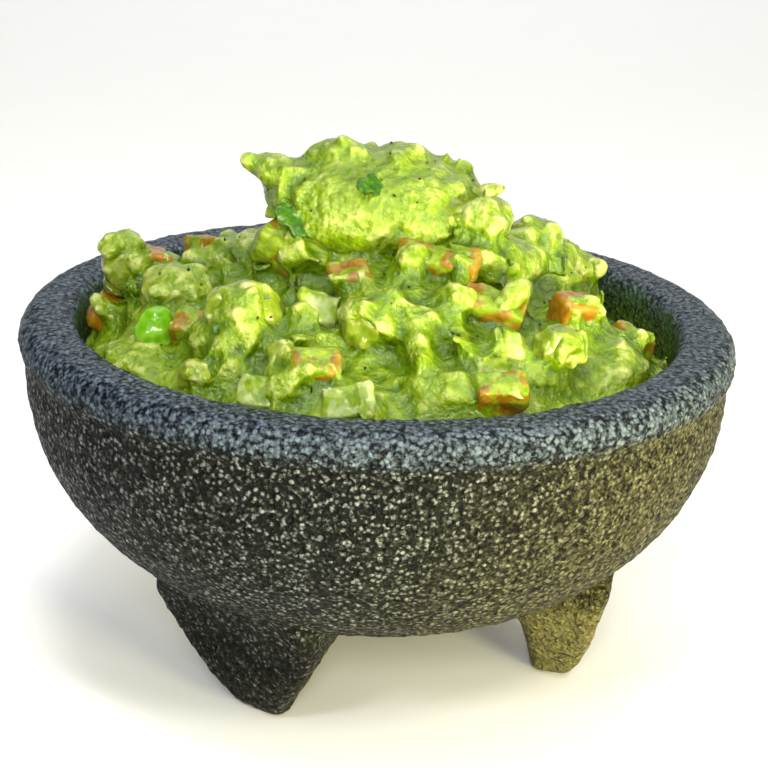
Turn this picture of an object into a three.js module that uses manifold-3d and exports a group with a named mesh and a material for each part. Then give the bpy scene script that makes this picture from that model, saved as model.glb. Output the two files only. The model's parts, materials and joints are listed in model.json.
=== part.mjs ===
// A molcajete: a round mortar on three short legs, cut from one block of dark volcanic
// stone and heaped with chunky guacamole.
//
// Millimetres, +Z up. The origin lies on the bowl's axis in the plane of the three feet,
// and the front of the bowl looks along -Y. Everything edible sits inside the group
// "guacamole", which lifts straight up out of the stone.

import * as THREE from 'three';
import Module from 'manifold-3d';
import { LoftGeometry } from 'three/addons/geometries/LoftGeometry.js';
import { mergeVertices } from 'three/addons/utils/BufferGeometryUtils.js';

// ---------------------------------------------------------------- driving dimensions

const rimRadius = 102; // widest radius of the rim: an eight inch mortar
const rimHeight = 108.3; // top of the rim above the table
const rimBand = 11.3; // height of the plain band round the rim
const bandStep = 1.8; // how far the band stands proud of the wall below it
const rimWidth = 16.5; // stone across the top of the wall
const outerRound = 6.5; // rounding of the rim's outer edge
const innerRound = 3.5; // rounding of the rim's inner edge
const bowlUnderside = 22.5; // lowest point of the bowl above the table
const floorThickness = 19.5; // stone under the middle of the cavity
const fullness = 2.2; // roundness of the bowl's section: 2 is an ellipse

const legTop = 48; // height at which a leg has sunk into the bowl wall
const facets = 40; // flats round every turned surface
const cavitySteps = 8; // flats from the floor of the cavity to its brim

const fillLine = 101; // where the mash meets the stone
const heapRise = 32; // height of the mash in the middle above the fill line
const heapSlope = 1.4; // 1 is a straight cone, 2 a round dome
const stoneGap = 0.4; // clearance between the food and the stone
const morselGap = 0.35; // clearance between neighbouring pieces of food
const brimGap = 0.6; // how much further the mash draws back from the stone at the fill line
const massDetail = 1; // fineness of a lump of mash
const chunkDetail = 1; // fineness of a small chunk

const innerRadius = rimRadius - rimWidth;
const wallRadius = rimRadius - bandStep;
const wallTop = rimHeight - rimBand;
const cavityTop = rimHeight - innerRound;
const cavityFloor = bowlUnderside + floorThickness;

// ---------------------------------------------------------------- materials

const stoneMaterial = new THREE.MeshStandardMaterial({ color: 0x34373a, roughness: 0.8 });
const mashMaterial = new THREE.MeshStandardMaterial({ color: 0xa3c43c, roughness: 0.35 });
const avocadoMaterial = new THREE.MeshStandardMaterial({ color: 0xb5cf45, roughness: 0.35 });
const tomatoMaterial = new THREE.MeshStandardMaterial({ color: 0xc8631c, roughness: 0.25 });
const onionMaterial = new THREE.MeshStandardMaterial({ color: 0xcfdc9c, roughness: 0.2 });
const cilantroMaterial = new THREE.MeshStandardMaterial({ color: 0x2f6b22, roughness: 0.4 });
const chileMaterial = new THREE.MeshStandardMaterial({ color: 0x63c21c, roughness: 0.15 });

// ---------------------------------------------------------------- solids

const wasm = await Module();
wasm.setup();

/** The matrix that turns a piece by angles in degrees and then moves it. */
function placing(at, turn) {
  const [rx, ry, rz] = turn.map(THREE.MathUtils.degToRad);
  const matrix = new THREE.Matrix4().makeRotationFromEuler(new THREE.Euler(rx, ry, rz, 'ZYX'));
  return matrix.setPosition(...at);
}

/** Turns a closed three.js geometry into a solid in its place, to be joined and cut. */
function solidOf(geometry, at = [0, 0, 0], turn = [0, 0, 0]) {
  const bare = new THREE.BufferGeometry().copy(geometry);
  bare.deleteAttribute('normal');
  bare.deleteAttribute('uv');
  const merged = mergeVertices(bare, 1e-4);
  const corners = merged.index.array;
  const triangles = [];
  for (let i = 0; i < corners.length; i += 3) {
    const [a, b, c] = corners.slice(i, i + 3);
    if (a !== b && b !== c && c !== a) triangles.push(a, b, c);
  }
  merged.applyMatrix4(placing(at, turn));
  const vertProperties = new Float32Array(merged.attributes.position.array);
  const triVerts = new Uint32Array(triangles);
  return new wasm.Manifold(new wasm.Mesh({ numProp: 3, vertProperties, triVerts }));
}

/** Turns a solid back into a geometry, as one body: crumbs that a cut leaves are dropped. */
function geometryOf(solid) {
  const bodies = solid.decompose();
  bodies.sort((a, b) => b.volume() - a.volume());
  const mesh = bodies[0].getMesh();
  const geometry = new THREE.BufferGeometry();
  geometry.setAttribute('position', new THREE.BufferAttribute(mesh.vertProperties, 3));
  geometry.setIndex(new THREE.BufferAttribute(mesh.triVerts, 1));
  geometry.computeVertexNormals();
  return geometry;
}

/** A solid turned round the bowl's axis from a profile that starts and ends on the axis. */
function turned(profile) {
  const geometry = new THREE.LatheGeometry(profile, facets);
  geometry.rotateX(Math.PI / 2);
  return solidOf(geometry);
}

// ---------------------------------------------------------------- the mortar

/** The section of a bowl, from the axis at its bottom out and up to its brim. */
function bowlCurve(radius, top, bottom, steps) {
  const points = [];
  for (let i = 0; i <= steps; i += 1) {
    const angle = (i / steps) * (Math.PI / 2);
    const out = Math.sin(angle) ** (2 / fullness);
    const up = Math.cos(angle) ** (2 / fullness);
    points.push(new THREE.Vector2(radius * out, top - (top - bottom) * up));
  }
  return points;
}

/** Points along a round edge of the rim, between two angles in degrees. */
function edgeArc(centreRadius, centreHeight, round, from, to, steps) {
  const points = [];
  for (let i = 0; i <= steps; i += 1) {
    const angle = THREE.MathUtils.degToRad(from + ((to - from) * i) / steps);
    const x = centreRadius + round * Math.cos(angle);
    const y = centreHeight + round * Math.sin(angle);
    points.push(new THREE.Vector2(x, y));
  }
  return points;
}

/** The block before it is hollowed: outer wall, proud rim band and flat top. */
function bowlBlock() {
  const outer = rimHeight - outerRound;
  const profile = [
    ...bowlCurve(wallRadius, wallTop, bowlUnderside, 10),
    ...edgeArc(rimRadius - outerRound, outer, outerRound, -30, 90, 4),
    ...edgeArc(innerRadius + innerRound, cavityTop, innerRound, 90, 180, 2),
    new THREE.Vector2(0, cavityTop),
  ];
  return turned(profile);
}

/** The hollow that is ground out of the block, with an open mouth above the rim. */
function cavity(shrink = 0, mouth = rimHeight + 5) {
  const profile = [
    ...bowlCurve(innerRadius - shrink, cavityTop, cavityFloor + shrink, cavitySteps),
    new THREE.Vector2(innerRadius - shrink, mouth),
    new THREE.Vector2(0, mouth),
  ];
  return turned(profile);
}

// Each leg is a flattened wedge: a broad outer face, a narrower inner face and a small foot.
// "bearing" is the leg's direction from +X, and the radii say how far out its outer face is.
const legs = [
  { bearing: -127, footRadius: 50, kneeRadius: 60, shoulderRadius: 71 },
  { bearing: -3, footRadius: 61, kneeRadius: 68, shoulderRadius: 74 },
  { bearing: 117, footRadius: 55, kneeRadius: 64, shoulderRadius: 73 },
];
const kneeHeight = 24;

// Sections of a leg from the floor up: height, depth in and out, and the widths of both faces.
const legSections = [
  { height: 0, depth: 12, outerWidth: 17, innerWidth: 11 },
  { height: 1.5, depth: 14, outerWidth: 20, innerWidth: 14 },
  { height: 8, depth: 17, outerWidth: 31, innerWidth: 20 },
  { height: 16, depth: 21, outerWidth: 43, innerWidth: 27 },
  { height: kneeHeight, depth: 26, outerWidth: 53, innerWidth: 34 },
  { height: 34, depth: 33, outerWidth: 60, innerWidth: 40 },
  { height: legTop, depth: 40, outerWidth: 63, innerWidth: 44 },
];
const cornerCut = 0.3; // share of each side that the worn corners take

/** Softens the corners of a closed outline by replacing each with three points. */
function wornOutline(corners) {
  return corners.flatMap((corner, i) => {
    const before = corners[(i + corners.length - 1) % corners.length];
    const after = corners[(i + 1) % corners.length];
    const first = corner.clone().lerp(before, cornerCut);
    const last = corner.clone().lerp(after, cornerCut);
    const middle = first.clone().add(last).multiplyScalar(0.5).lerp(corner, 0.5);
    return [first, middle, last];
  });
}

/** Radius of a leg's outer face at a height. */
function outerFace(leg, height) {
  if (height < kneeHeight) {
    return THREE.MathUtils.lerp(leg.footRadius, leg.kneeRadius, Math.sqrt(height / kneeHeight));
  }
  return THREE.MathUtils.mapLinear(
    height, kneeHeight, legTop, leg.kneeRadius, leg.shoulderRadius);
}

/** One leg, lofted from the foot up into the bowl wall. */
function legSolid(leg) {
  const sections = legSections.map(({ height, depth, outerWidth, innerWidth }) => {
    const out = outerFace(leg, height);
    const corners = [
      new THREE.Vector3(out, -outerWidth / 2, height),
      new THREE.Vector3(out, outerWidth / 2, height),
      new THREE.Vector3(out - depth, innerWidth / 2, height),
      new THREE.Vector3(out - depth, -innerWidth / 2, height),
    ];
    return wornOutline(corners);
  });
  const geometry = new LoftGeometry(sections, { capStart: true, capEnd: true });
  return solidOf(geometry, [0, 0, 0], [0, 0, leg.bearing]);
}

/** The whole stone: one block, so the bowl and its three legs are a single solid. */
function mortarSolid() {
  const block = legs.reduce((stone, leg) => stone.add(legSolid(leg)), bowlBlock());
  return block.subtract(cavity());
}

// ---------------------------------------------------------------- the food

// Every piece of food is one of these shapes, stretched to its size. "grow" widens it all
// round, which gives the pocket that the piece sits in.
const shapes = {
  /** A soft rounded lump of mash. */
  mass(size, grow) {
    const geometry = new THREE.IcosahedronGeometry(0.5, massDetail);
    return geometry.scale(...size.map((side) => side + 2 * grow));
  },
  /** A small rounded chunk. */
  chunk(size, grow) {
    const geometry = new THREE.IcosahedronGeometry(0.5, chunkDetail);
    return geometry.scale(...size.map((side) => side + 2 * grow));
  },
  /** A cut dice with crisp edges. */
  dice(size, grow) {
    return new THREE.BoxGeometry(...size.map((side) => side + 2 * grow));
  },
  /** A thin leaf with lobes along its sides. */
  leaf(size, grow) {
    const outline = new THREE.Shape();
    const [length, width, thickness] = size.map((side) => side + 2 * grow);
    outline.moveTo(-length / 2, 0);
    outline.quadraticCurveTo(-length / 3, -width / 2, -length / 8, -width / 4);
    outline.quadraticCurveTo(length / 6, -width * 0.7, length / 4, -width / 5);
    outline.quadraticCurveTo(length / 2, -width / 4, length / 2, 0);
    outline.quadraticCurveTo(length / 2, width / 4, length / 4, width / 5);
    outline.quadraticCurveTo(length / 6, width * 0.7, -length / 8, width / 4);
    outline.quadraticCurveTo(-length / 3, width / 2, -length / 2, 0);
    const geometry = new THREE.ExtrudeGeometry(outline, {
      depth: thickness, bevelEnabled: false, curveSegments: 4,
    });
    return geometry.translate(0, 0, -thickness / 2);
  },
};

/** The solid of one piece of food, widened by "grow". */
function foodSolid({ shape, at, size, turn }, grow = 0) {
  return solidOf(shapes[shape](size, grow), at, turn);
}

/** Several lumps pressed into one mass. */
function massSolid(lumps, grow = 0) {
  return lumps
    .map((lump) => foodSolid({ shape: 'mass', ...lump }, grow))
    .reduce((mass, lump) => mass.add(lump));
}

// The spoonful that was dropped on last, with its tip hanging out to the left.
const spoonfulLumps = [
  { at: [-2, -2, 143], size: [66, 48, 28] },
  { at: [-29, -7, 150.5], size: [16, 20, 12] },
  { at: [-12, -2, 152], size: [24, 24, 16] },
  { at: [5, 0, 152], size: [20, 20, 15] },
  { at: [17, -5, 143], size: [26, 28, 18] },
  { at: [24, -4, 138], size: [28, 32, 18] },
  { at: [-6, -15, 139], size: [44, 24, 22] },
  { at: [10, -16, 137], size: [32, 20, 18] },
];

// The lumps that stand out of the heap below it.
const heapLumps = [
  { at: [-8, -6, 126], size: [62, 46, 26] },
  { at: [22, -8, 126], size: [52, 46, 24] },
  { at: [5, -34, 119], size: [44, 34, 24] },
  { at: [32, -42, 110], size: [46, 36, 23] },
  { at: [50, -22, 110], size: [36, 42, 22] },
  { at: [62, -30, 105], size: [30, 36, 18] },
  { at: [-34, -42, 113], size: [40, 34, 20] },
  { at: [-56, -18, 110], size: [32, 36, 22] },
  { at: [-70, -4, 104], size: [26, 32, 18] },
  { at: [-64, 2, 109], size: [22, 26, 20] },
  { at: [-64, -36, 104], size: [26, 30, 16] },
  { at: [-10, -62, 105], size: [42, 26, 16] },
  { at: [20, -62, 107], size: [36, 28, 18] },
  { at: [11, -62, 115], size: [11, 34, 10], turn: [32, 0, 8] },
  { at: [24, -58, 115], size: [9, 30, 9], turn: [30, 0, 24] },
  { at: [0, 32, 118], size: [64, 46, 28] },
  { at: [-34, 22, 115], size: [42, 38, 22] },
  { at: [32, 40, 110], size: [36, 34, 18] },
  { at: [-10, 58, 106], size: [40, 30, 18] },
  { at: [44, 20, 117], size: [28, 34, 22] },
  { at: [56, 36, 105], size: [24, 30, 18] },
];

// Where the heap falls short of the wall, so that the ground inside of the bowl shows.
const heapHollows = [
  { at: [72, 20, 116], size: [42, 80, 50] },
  { at: [-44, 58, 118], size: [60, 34, 36] },
];

// The pieces that can be told apart, each in a pocket of its own in the mash.
const tomatoes = [
  { at: [15, -28, 130], size: [22, 9, 11], turn: [20, 4, -8] },
  { at: [28, -38, 122], size: [23, 9, 10], turn: [24, 10, -12] },
  { at: [53, -29, 119], size: [11, 9, 10], turn: [20, 8, 30] },
  { at: [-64, -3, 120], size: [7, 9, 10], turn: [5, 12, 15] },
  { at: [-27, -19, 132], size: [12, 10, 10], turn: [15, 20, -20] },
  { at: [-16, -64, 112], size: [12, 9, 8], turn: [25, 0, 10] },
  { at: [32, -69, 109], size: [13, 8, 9], turn: [25, 0, 10] },
  { at: [-50, -38, 113], size: [10, 8, 7], turn: [25, 10, -20] },
  { at: [-77, -9, 108], size: [7, 9, 9], turn: [10, 25, 10] },
  { at: [71, -18, 108], size: [9, 9, 7], turn: [15, 20, 40] },
  { at: [-8, -33, 128], size: [11, 8, 7], turn: [25, -10, 10] },
  { at: [14, 25, 129], size: [12, 10, 9], turn: [-20, 10, 15] },
  { at: [-20, 48, 117], size: [11, 9, 9], turn: [-25, 12, -30] },
  { at: [26, 56, 112], size: [12, 10, 8], turn: [-20, 5, 25] },
  { at: [-52, 22, 117], size: [10, 9, 9], turn: [-10, 20, 40] },
];

const onions = [
  { at: [-16, -42, 122], size: [12, 10, 5], turn: [50, 10, 5] },
  { at: [-29, -68, 106], size: [15, 9, 6], turn: [45, 5, -12] },
  { at: [-7, -74, 107], size: [14, 10, 5], turn: [50, -8, 0] },
  { at: [34, -55, 118], size: [9, 9, 4], turn: [55, 10, 20] },
  { at: [30, -63, 113], size: [10, 9, 4], turn: [50, 0, 12] },
  { at: [-44, -4, 121], size: [9, 7, 5], turn: [20, 35, 10] },
  { at: [2, 50, 124], size: [12, 10, 5], turn: [-35, 8, 10] },
  { at: [-38, 38, 117], size: [11, 9, 4], turn: [-30, -10, 35] },
  { at: [33, 32, 121], size: [10, 8, 4], turn: [-20, 25, -20] },
];

const cilantros = [
  { at: [-23, -22, 140], size: [17, 11, 1.6], turn: [62, 35, 15] },
  { at: [-3, -21, 151], size: [12, 9, 1.4], turn: [48, 5, 40] },
  { at: [-40, -54, 119], size: [9, 6, 1.4], turn: [60, 0, -20] },
  { at: [-14, 20, 132.5], size: [14, 9, 1.5], turn: [-38, 12, 60] },
];

const chiles = [
  { at: [-60, -36, 112], size: [11, 6, 14], turn: [-18, 8, 20] },
  { at: [20, 49, 120], size: [12, 8, 6], turn: [-25, 0, 30] },
];

const avocados = [
  { at: [-72, -5, 120.5], size: [15, 15, 22], turn: [0, 6, 0] },
  { at: [-36, -43, 120], size: [25, 19, 20], turn: [20, 0, 10] },
  { at: [-3, -48, 120], size: [18, 17, 18], turn: [20, 25, 0] },
  { at: [-25, -61, 112], size: [10, 10, 16], turn: [-25, 0, 0] },
  { at: [-57, -20, 118], size: [20, 20, 17], turn: [10, 10, 30] },
  { at: [44, 20, 126], size: [18, 18, 15], turn: [0, 12, 30] },
  { at: [59, 34, 114], size: [13, 16, 12], turn: [0, 30, 10] },
  { at: [48, -49, 116], size: [17, 14, 15], turn: [20, 0, 30] },
  { at: [24, -18, 142.5], size: [20, 11, 9], turn: [25, 14, -10] },
  { at: [29, -9, 147.5], size: [12, 6, 5], turn: [0, -8, 0] },
  { at: [-47, -57, 106], size: [14, 10, 12], turn: [20, 0, -30] },
  { at: [-14, 47, 125], size: [20, 16, 14], turn: [-25, 0, 20] },
  { at: [42, 53, 113], size: [18, 14, 13], turn: [-20, 0, -30] },
  { at: [-62, 24, 109], size: [17, 20, 14], turn: [0, -15, 20] },
];

const kinds = [
  { name: 'cilantro_leaf', shape: 'leaf', pieces: cilantros, material: cilantroMaterial },
  { name: 'tomato_dice', shape: 'dice', pieces: tomatoes, material: tomatoMaterial },
  { name: 'onion_piece', shape: 'dice', pieces: onions, material: onionMaterial },
  { name: 'chile_piece', shape: 'chunk', pieces: chiles, material: chileMaterial },
  { name: 'avocado_chunk', shape: 'chunk', pieces: avocados, material: avocadoMaterial },
];

/** The mash before its pockets are cut: it fills the cavity and rises to a low dome. */
function mashBody() {
  const steps = 8;
  const profile = bowlCurve(innerRadius - stoneGap, cavityTop, cavityFloor + stoneGap, cavitySteps)
    .filter((point) => point.y < fillLine);
  for (let i = steps; i >= 0; i -= 1) {
    const share = i / steps;
    const radius = share * (innerRadius - stoneGap - brimGap);
    profile.push(new THREE.Vector2(radius, fillLine + heapRise * (1 - share ** heapSlope)));
  }
  return turned(profile).subtract(massSolid(heapHollows)).add(massSolid(heapLumps));
}

/** A named mesh, with its pivot in the middle of the piece. */
function meshOf(name, solid, material, pivot = [0, 0, 0]) {
  const geometry = geometryOf(solid);
  geometry.translate(...pivot.map((value) => -value));
  const mesh = new THREE.Mesh(geometry, material);
  mesh.name = name;
  mesh.position.set(...pivot);
  return mesh;
}

/** All the food: the loose pieces first, then the mash with a pocket for each of them. */
function guacamole() {
  const food = new THREE.Group();
  food.name = 'guacamole';
  const room = cavity(stoneGap, 2 * rimHeight);
  let pockets = null;
  for (const { name, shape, pieces, material } of kinds) {
    pieces.forEach((piece, index) => {
      const whole = foodSolid({ shape, ...piece }).intersect(room);
      const solid = pockets ? whole.subtract(pockets) : whole;
      const pocket = foodSolid({ shape, ...piece }, morselGap);
      pockets = pockets ? pockets.add(pocket) : pocket;
      food.add(meshOf(`${name}_${index + 1}`, solid, material, piece.at));
    });
  }
  const spoonful = massSolid(spoonfulLumps).subtract(pockets);
  const heap = mashBody().intersect(room).subtract(pockets);
  const heapUnderSpoonful = heap.subtract(massSolid(spoonfulLumps, morselGap));
  food.add(meshOf('mash_heap', heapUnderSpoonful, mashMaterial));
  food.add(meshOf('top_spoonful', spoonful, mashMaterial, spoonfulLumps[0].at));
  return food;
}

// ---------------------------------------------------------------- the whole object

const molcajete = new THREE.Group();
molcajete.name = 'molcajete';
molcajete.add(meshOf('mortar', mortarSolid(), stoneMaterial));
molcajete.add(guacamole());

export default molcajete;
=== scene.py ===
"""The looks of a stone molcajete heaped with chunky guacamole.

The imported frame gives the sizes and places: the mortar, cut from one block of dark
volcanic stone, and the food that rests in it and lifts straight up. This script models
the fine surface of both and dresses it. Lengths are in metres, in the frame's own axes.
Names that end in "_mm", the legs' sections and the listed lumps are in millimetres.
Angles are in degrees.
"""

from __future__ import annotations

import json
import logging
import math
import random
from dataclasses import dataclass
from enum import Enum
from typing import NamedTuple

import bpy
import numpy as np
from mathutils import Matrix, Vector
from mathutils.bvhtree import BVHTree
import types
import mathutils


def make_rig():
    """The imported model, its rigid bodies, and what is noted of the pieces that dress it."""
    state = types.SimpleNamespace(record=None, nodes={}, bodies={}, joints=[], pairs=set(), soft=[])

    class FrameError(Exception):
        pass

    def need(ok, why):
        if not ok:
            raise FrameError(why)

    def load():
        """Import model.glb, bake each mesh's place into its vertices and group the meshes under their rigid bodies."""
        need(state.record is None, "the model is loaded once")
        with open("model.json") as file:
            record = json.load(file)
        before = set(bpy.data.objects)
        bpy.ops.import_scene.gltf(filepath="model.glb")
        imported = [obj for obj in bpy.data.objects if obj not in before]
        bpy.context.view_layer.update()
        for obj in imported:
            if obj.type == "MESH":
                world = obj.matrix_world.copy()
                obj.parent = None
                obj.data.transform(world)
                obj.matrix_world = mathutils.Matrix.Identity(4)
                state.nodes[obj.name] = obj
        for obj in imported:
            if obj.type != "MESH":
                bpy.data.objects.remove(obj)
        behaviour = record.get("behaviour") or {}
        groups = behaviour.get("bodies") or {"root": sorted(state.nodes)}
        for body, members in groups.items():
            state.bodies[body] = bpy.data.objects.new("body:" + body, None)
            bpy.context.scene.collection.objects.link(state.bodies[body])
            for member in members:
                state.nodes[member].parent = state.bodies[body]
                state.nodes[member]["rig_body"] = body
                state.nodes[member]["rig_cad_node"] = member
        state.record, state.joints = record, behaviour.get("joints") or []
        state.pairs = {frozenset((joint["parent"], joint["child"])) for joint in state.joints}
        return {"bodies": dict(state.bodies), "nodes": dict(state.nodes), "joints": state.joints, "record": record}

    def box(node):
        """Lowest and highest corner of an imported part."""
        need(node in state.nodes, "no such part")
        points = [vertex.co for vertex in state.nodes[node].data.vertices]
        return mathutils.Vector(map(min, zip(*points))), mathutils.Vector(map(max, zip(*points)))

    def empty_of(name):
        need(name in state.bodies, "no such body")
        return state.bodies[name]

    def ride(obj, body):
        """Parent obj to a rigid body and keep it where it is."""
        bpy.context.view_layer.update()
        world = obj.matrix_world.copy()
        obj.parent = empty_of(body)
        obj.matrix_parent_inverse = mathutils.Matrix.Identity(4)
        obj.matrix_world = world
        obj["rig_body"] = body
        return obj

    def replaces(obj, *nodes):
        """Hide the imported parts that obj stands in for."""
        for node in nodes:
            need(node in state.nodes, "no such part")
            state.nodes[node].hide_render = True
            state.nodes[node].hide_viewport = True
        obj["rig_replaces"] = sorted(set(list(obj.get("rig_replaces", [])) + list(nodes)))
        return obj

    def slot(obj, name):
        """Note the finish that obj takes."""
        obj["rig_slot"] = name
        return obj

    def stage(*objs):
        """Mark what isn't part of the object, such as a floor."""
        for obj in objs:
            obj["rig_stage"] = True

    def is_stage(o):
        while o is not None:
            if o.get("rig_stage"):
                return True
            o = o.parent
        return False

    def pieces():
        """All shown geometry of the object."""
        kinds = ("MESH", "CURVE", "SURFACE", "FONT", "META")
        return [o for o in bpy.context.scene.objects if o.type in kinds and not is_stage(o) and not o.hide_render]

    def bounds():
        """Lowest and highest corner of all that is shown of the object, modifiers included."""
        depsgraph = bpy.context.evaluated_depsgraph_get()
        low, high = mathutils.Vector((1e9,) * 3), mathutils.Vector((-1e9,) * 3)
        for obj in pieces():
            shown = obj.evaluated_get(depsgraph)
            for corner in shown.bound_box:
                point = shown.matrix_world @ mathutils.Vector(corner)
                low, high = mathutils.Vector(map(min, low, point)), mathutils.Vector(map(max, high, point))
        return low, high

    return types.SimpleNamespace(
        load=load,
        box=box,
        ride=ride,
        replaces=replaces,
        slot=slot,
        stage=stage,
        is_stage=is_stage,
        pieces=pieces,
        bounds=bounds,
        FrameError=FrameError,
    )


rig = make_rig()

Node = bpy.types.Node
Object = bpy.types.Object
Socket = bpy.types.NodeSocket
Tree = bpy.types.NodeTree
Triple = tuple[float, float, float]
Stops = list[tuple[float, str]]

LOG = logging.getLogger("molcajete")
MM = 0.001
UP = Vector((0, 0, 1))
INNER_WALL = "inner_wall"
# How deep a point lies in a crease, which the food's finish turns into painted shade in the creases and painted light
# on the ridges.
HOLLOW = "hollow"

# Places of the sockets of the Map Range and Mix nodes, which share names among them.
VALUE, FROM_MIN, FROM_MAX, TO_MIN, TO_MAX = range(5)
FACTOR, NUMBER_A, NUMBER_B, COLOUR_A, COLOUR_B = 0, 2, 3, 6, 7
COLOUR_OUT = 2


# --------------------------------------------------------------------- colours and nodes


def colour(hex_code: str) -> tuple[float, float, float, float]:
    """Turn an sRGB hex colour into linear light.

    Args:
        hex_code: Six hex digits, such as "a3c43c".

    Returns:
        Red, green, blue and alpha.
    """
    channels = [int(hex_code[i : i + 2], 16) / 255 for i in (0, 2, 4)]
    linear = [c / 12.92 if c <= 0.04045 else ((c + 0.055) / 1.055) ** 2.4 for c in channels]
    return (*linear, 1.0)


def add_node(
    tree: Tree,
    kind: str,
    inputs: dict[str | int, object] | None = None,
    stops: Stops | None = None,
    **settings: object,
) -> Node:
    """Add one shader node with its settings, values and links.

    Args:
        tree: The material's node tree.
        kind: The node's type, such as "TexNoise" for "ShaderNodeTexNoise".
        inputs: What goes into each input: a socket to link, or a value to set.
        stops: A colour ramp's stops, each a place and an sRGB hex colour.
        **settings: Properties of the node, such as blend_type.

    Returns:
        The new node.
    """
    node = tree.nodes.new(f"ShaderNode{kind}")
    for name, value in settings.items():
        setattr(node, name, value)
    for key, value in (inputs or {}).items():
        if isinstance(value, Socket):
            tree.links.new(value, node.inputs[key])
        else:
            node.inputs[key].default_value = value
    for index, (place, hex_code) in enumerate(stops or []):
        elements = node.color_ramp.elements
        element = elements[index] if index < 2 else elements.new(place)
        element.position = place
        element.color = colour(hex_code)
    return node


def per_metre(size_mm: float) -> float:
    """Give the texture scale at which one feature of a pattern is size_mm wide."""
    return 1 / (size_mm * MM)


# --------------------------------------------------------------------- finishes


@dataclass(frozen=True)
class Finish:
    """What every finish has: a name, and the shader that its subclass wires up."""

    name: str

    def material(self) -> bpy.types.Material:
        """Make the material, or give back the one that is already made.

        Returns:
            The material, named for the finish.
        """
        made = bpy.data.materials.get(self.name)
        if made:
            return made
        made = bpy.data.materials.new(self.name)
        made.use_nodes = True
        tree = made.node_tree
        self.wire(tree, tree.nodes["Principled BSDF"])
        return made

    def wire(self, tree: Tree, shader: Node) -> None:
        """Wire the shader up. Each finish does this its own way."""
        raise NotImplementedError


class Speckles(NamedTuple):
    """The patterns that the stone's colour and relief share."""

    distance: Socket
    grain: Socket
    mottle: Socket
    level: Socket


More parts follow.
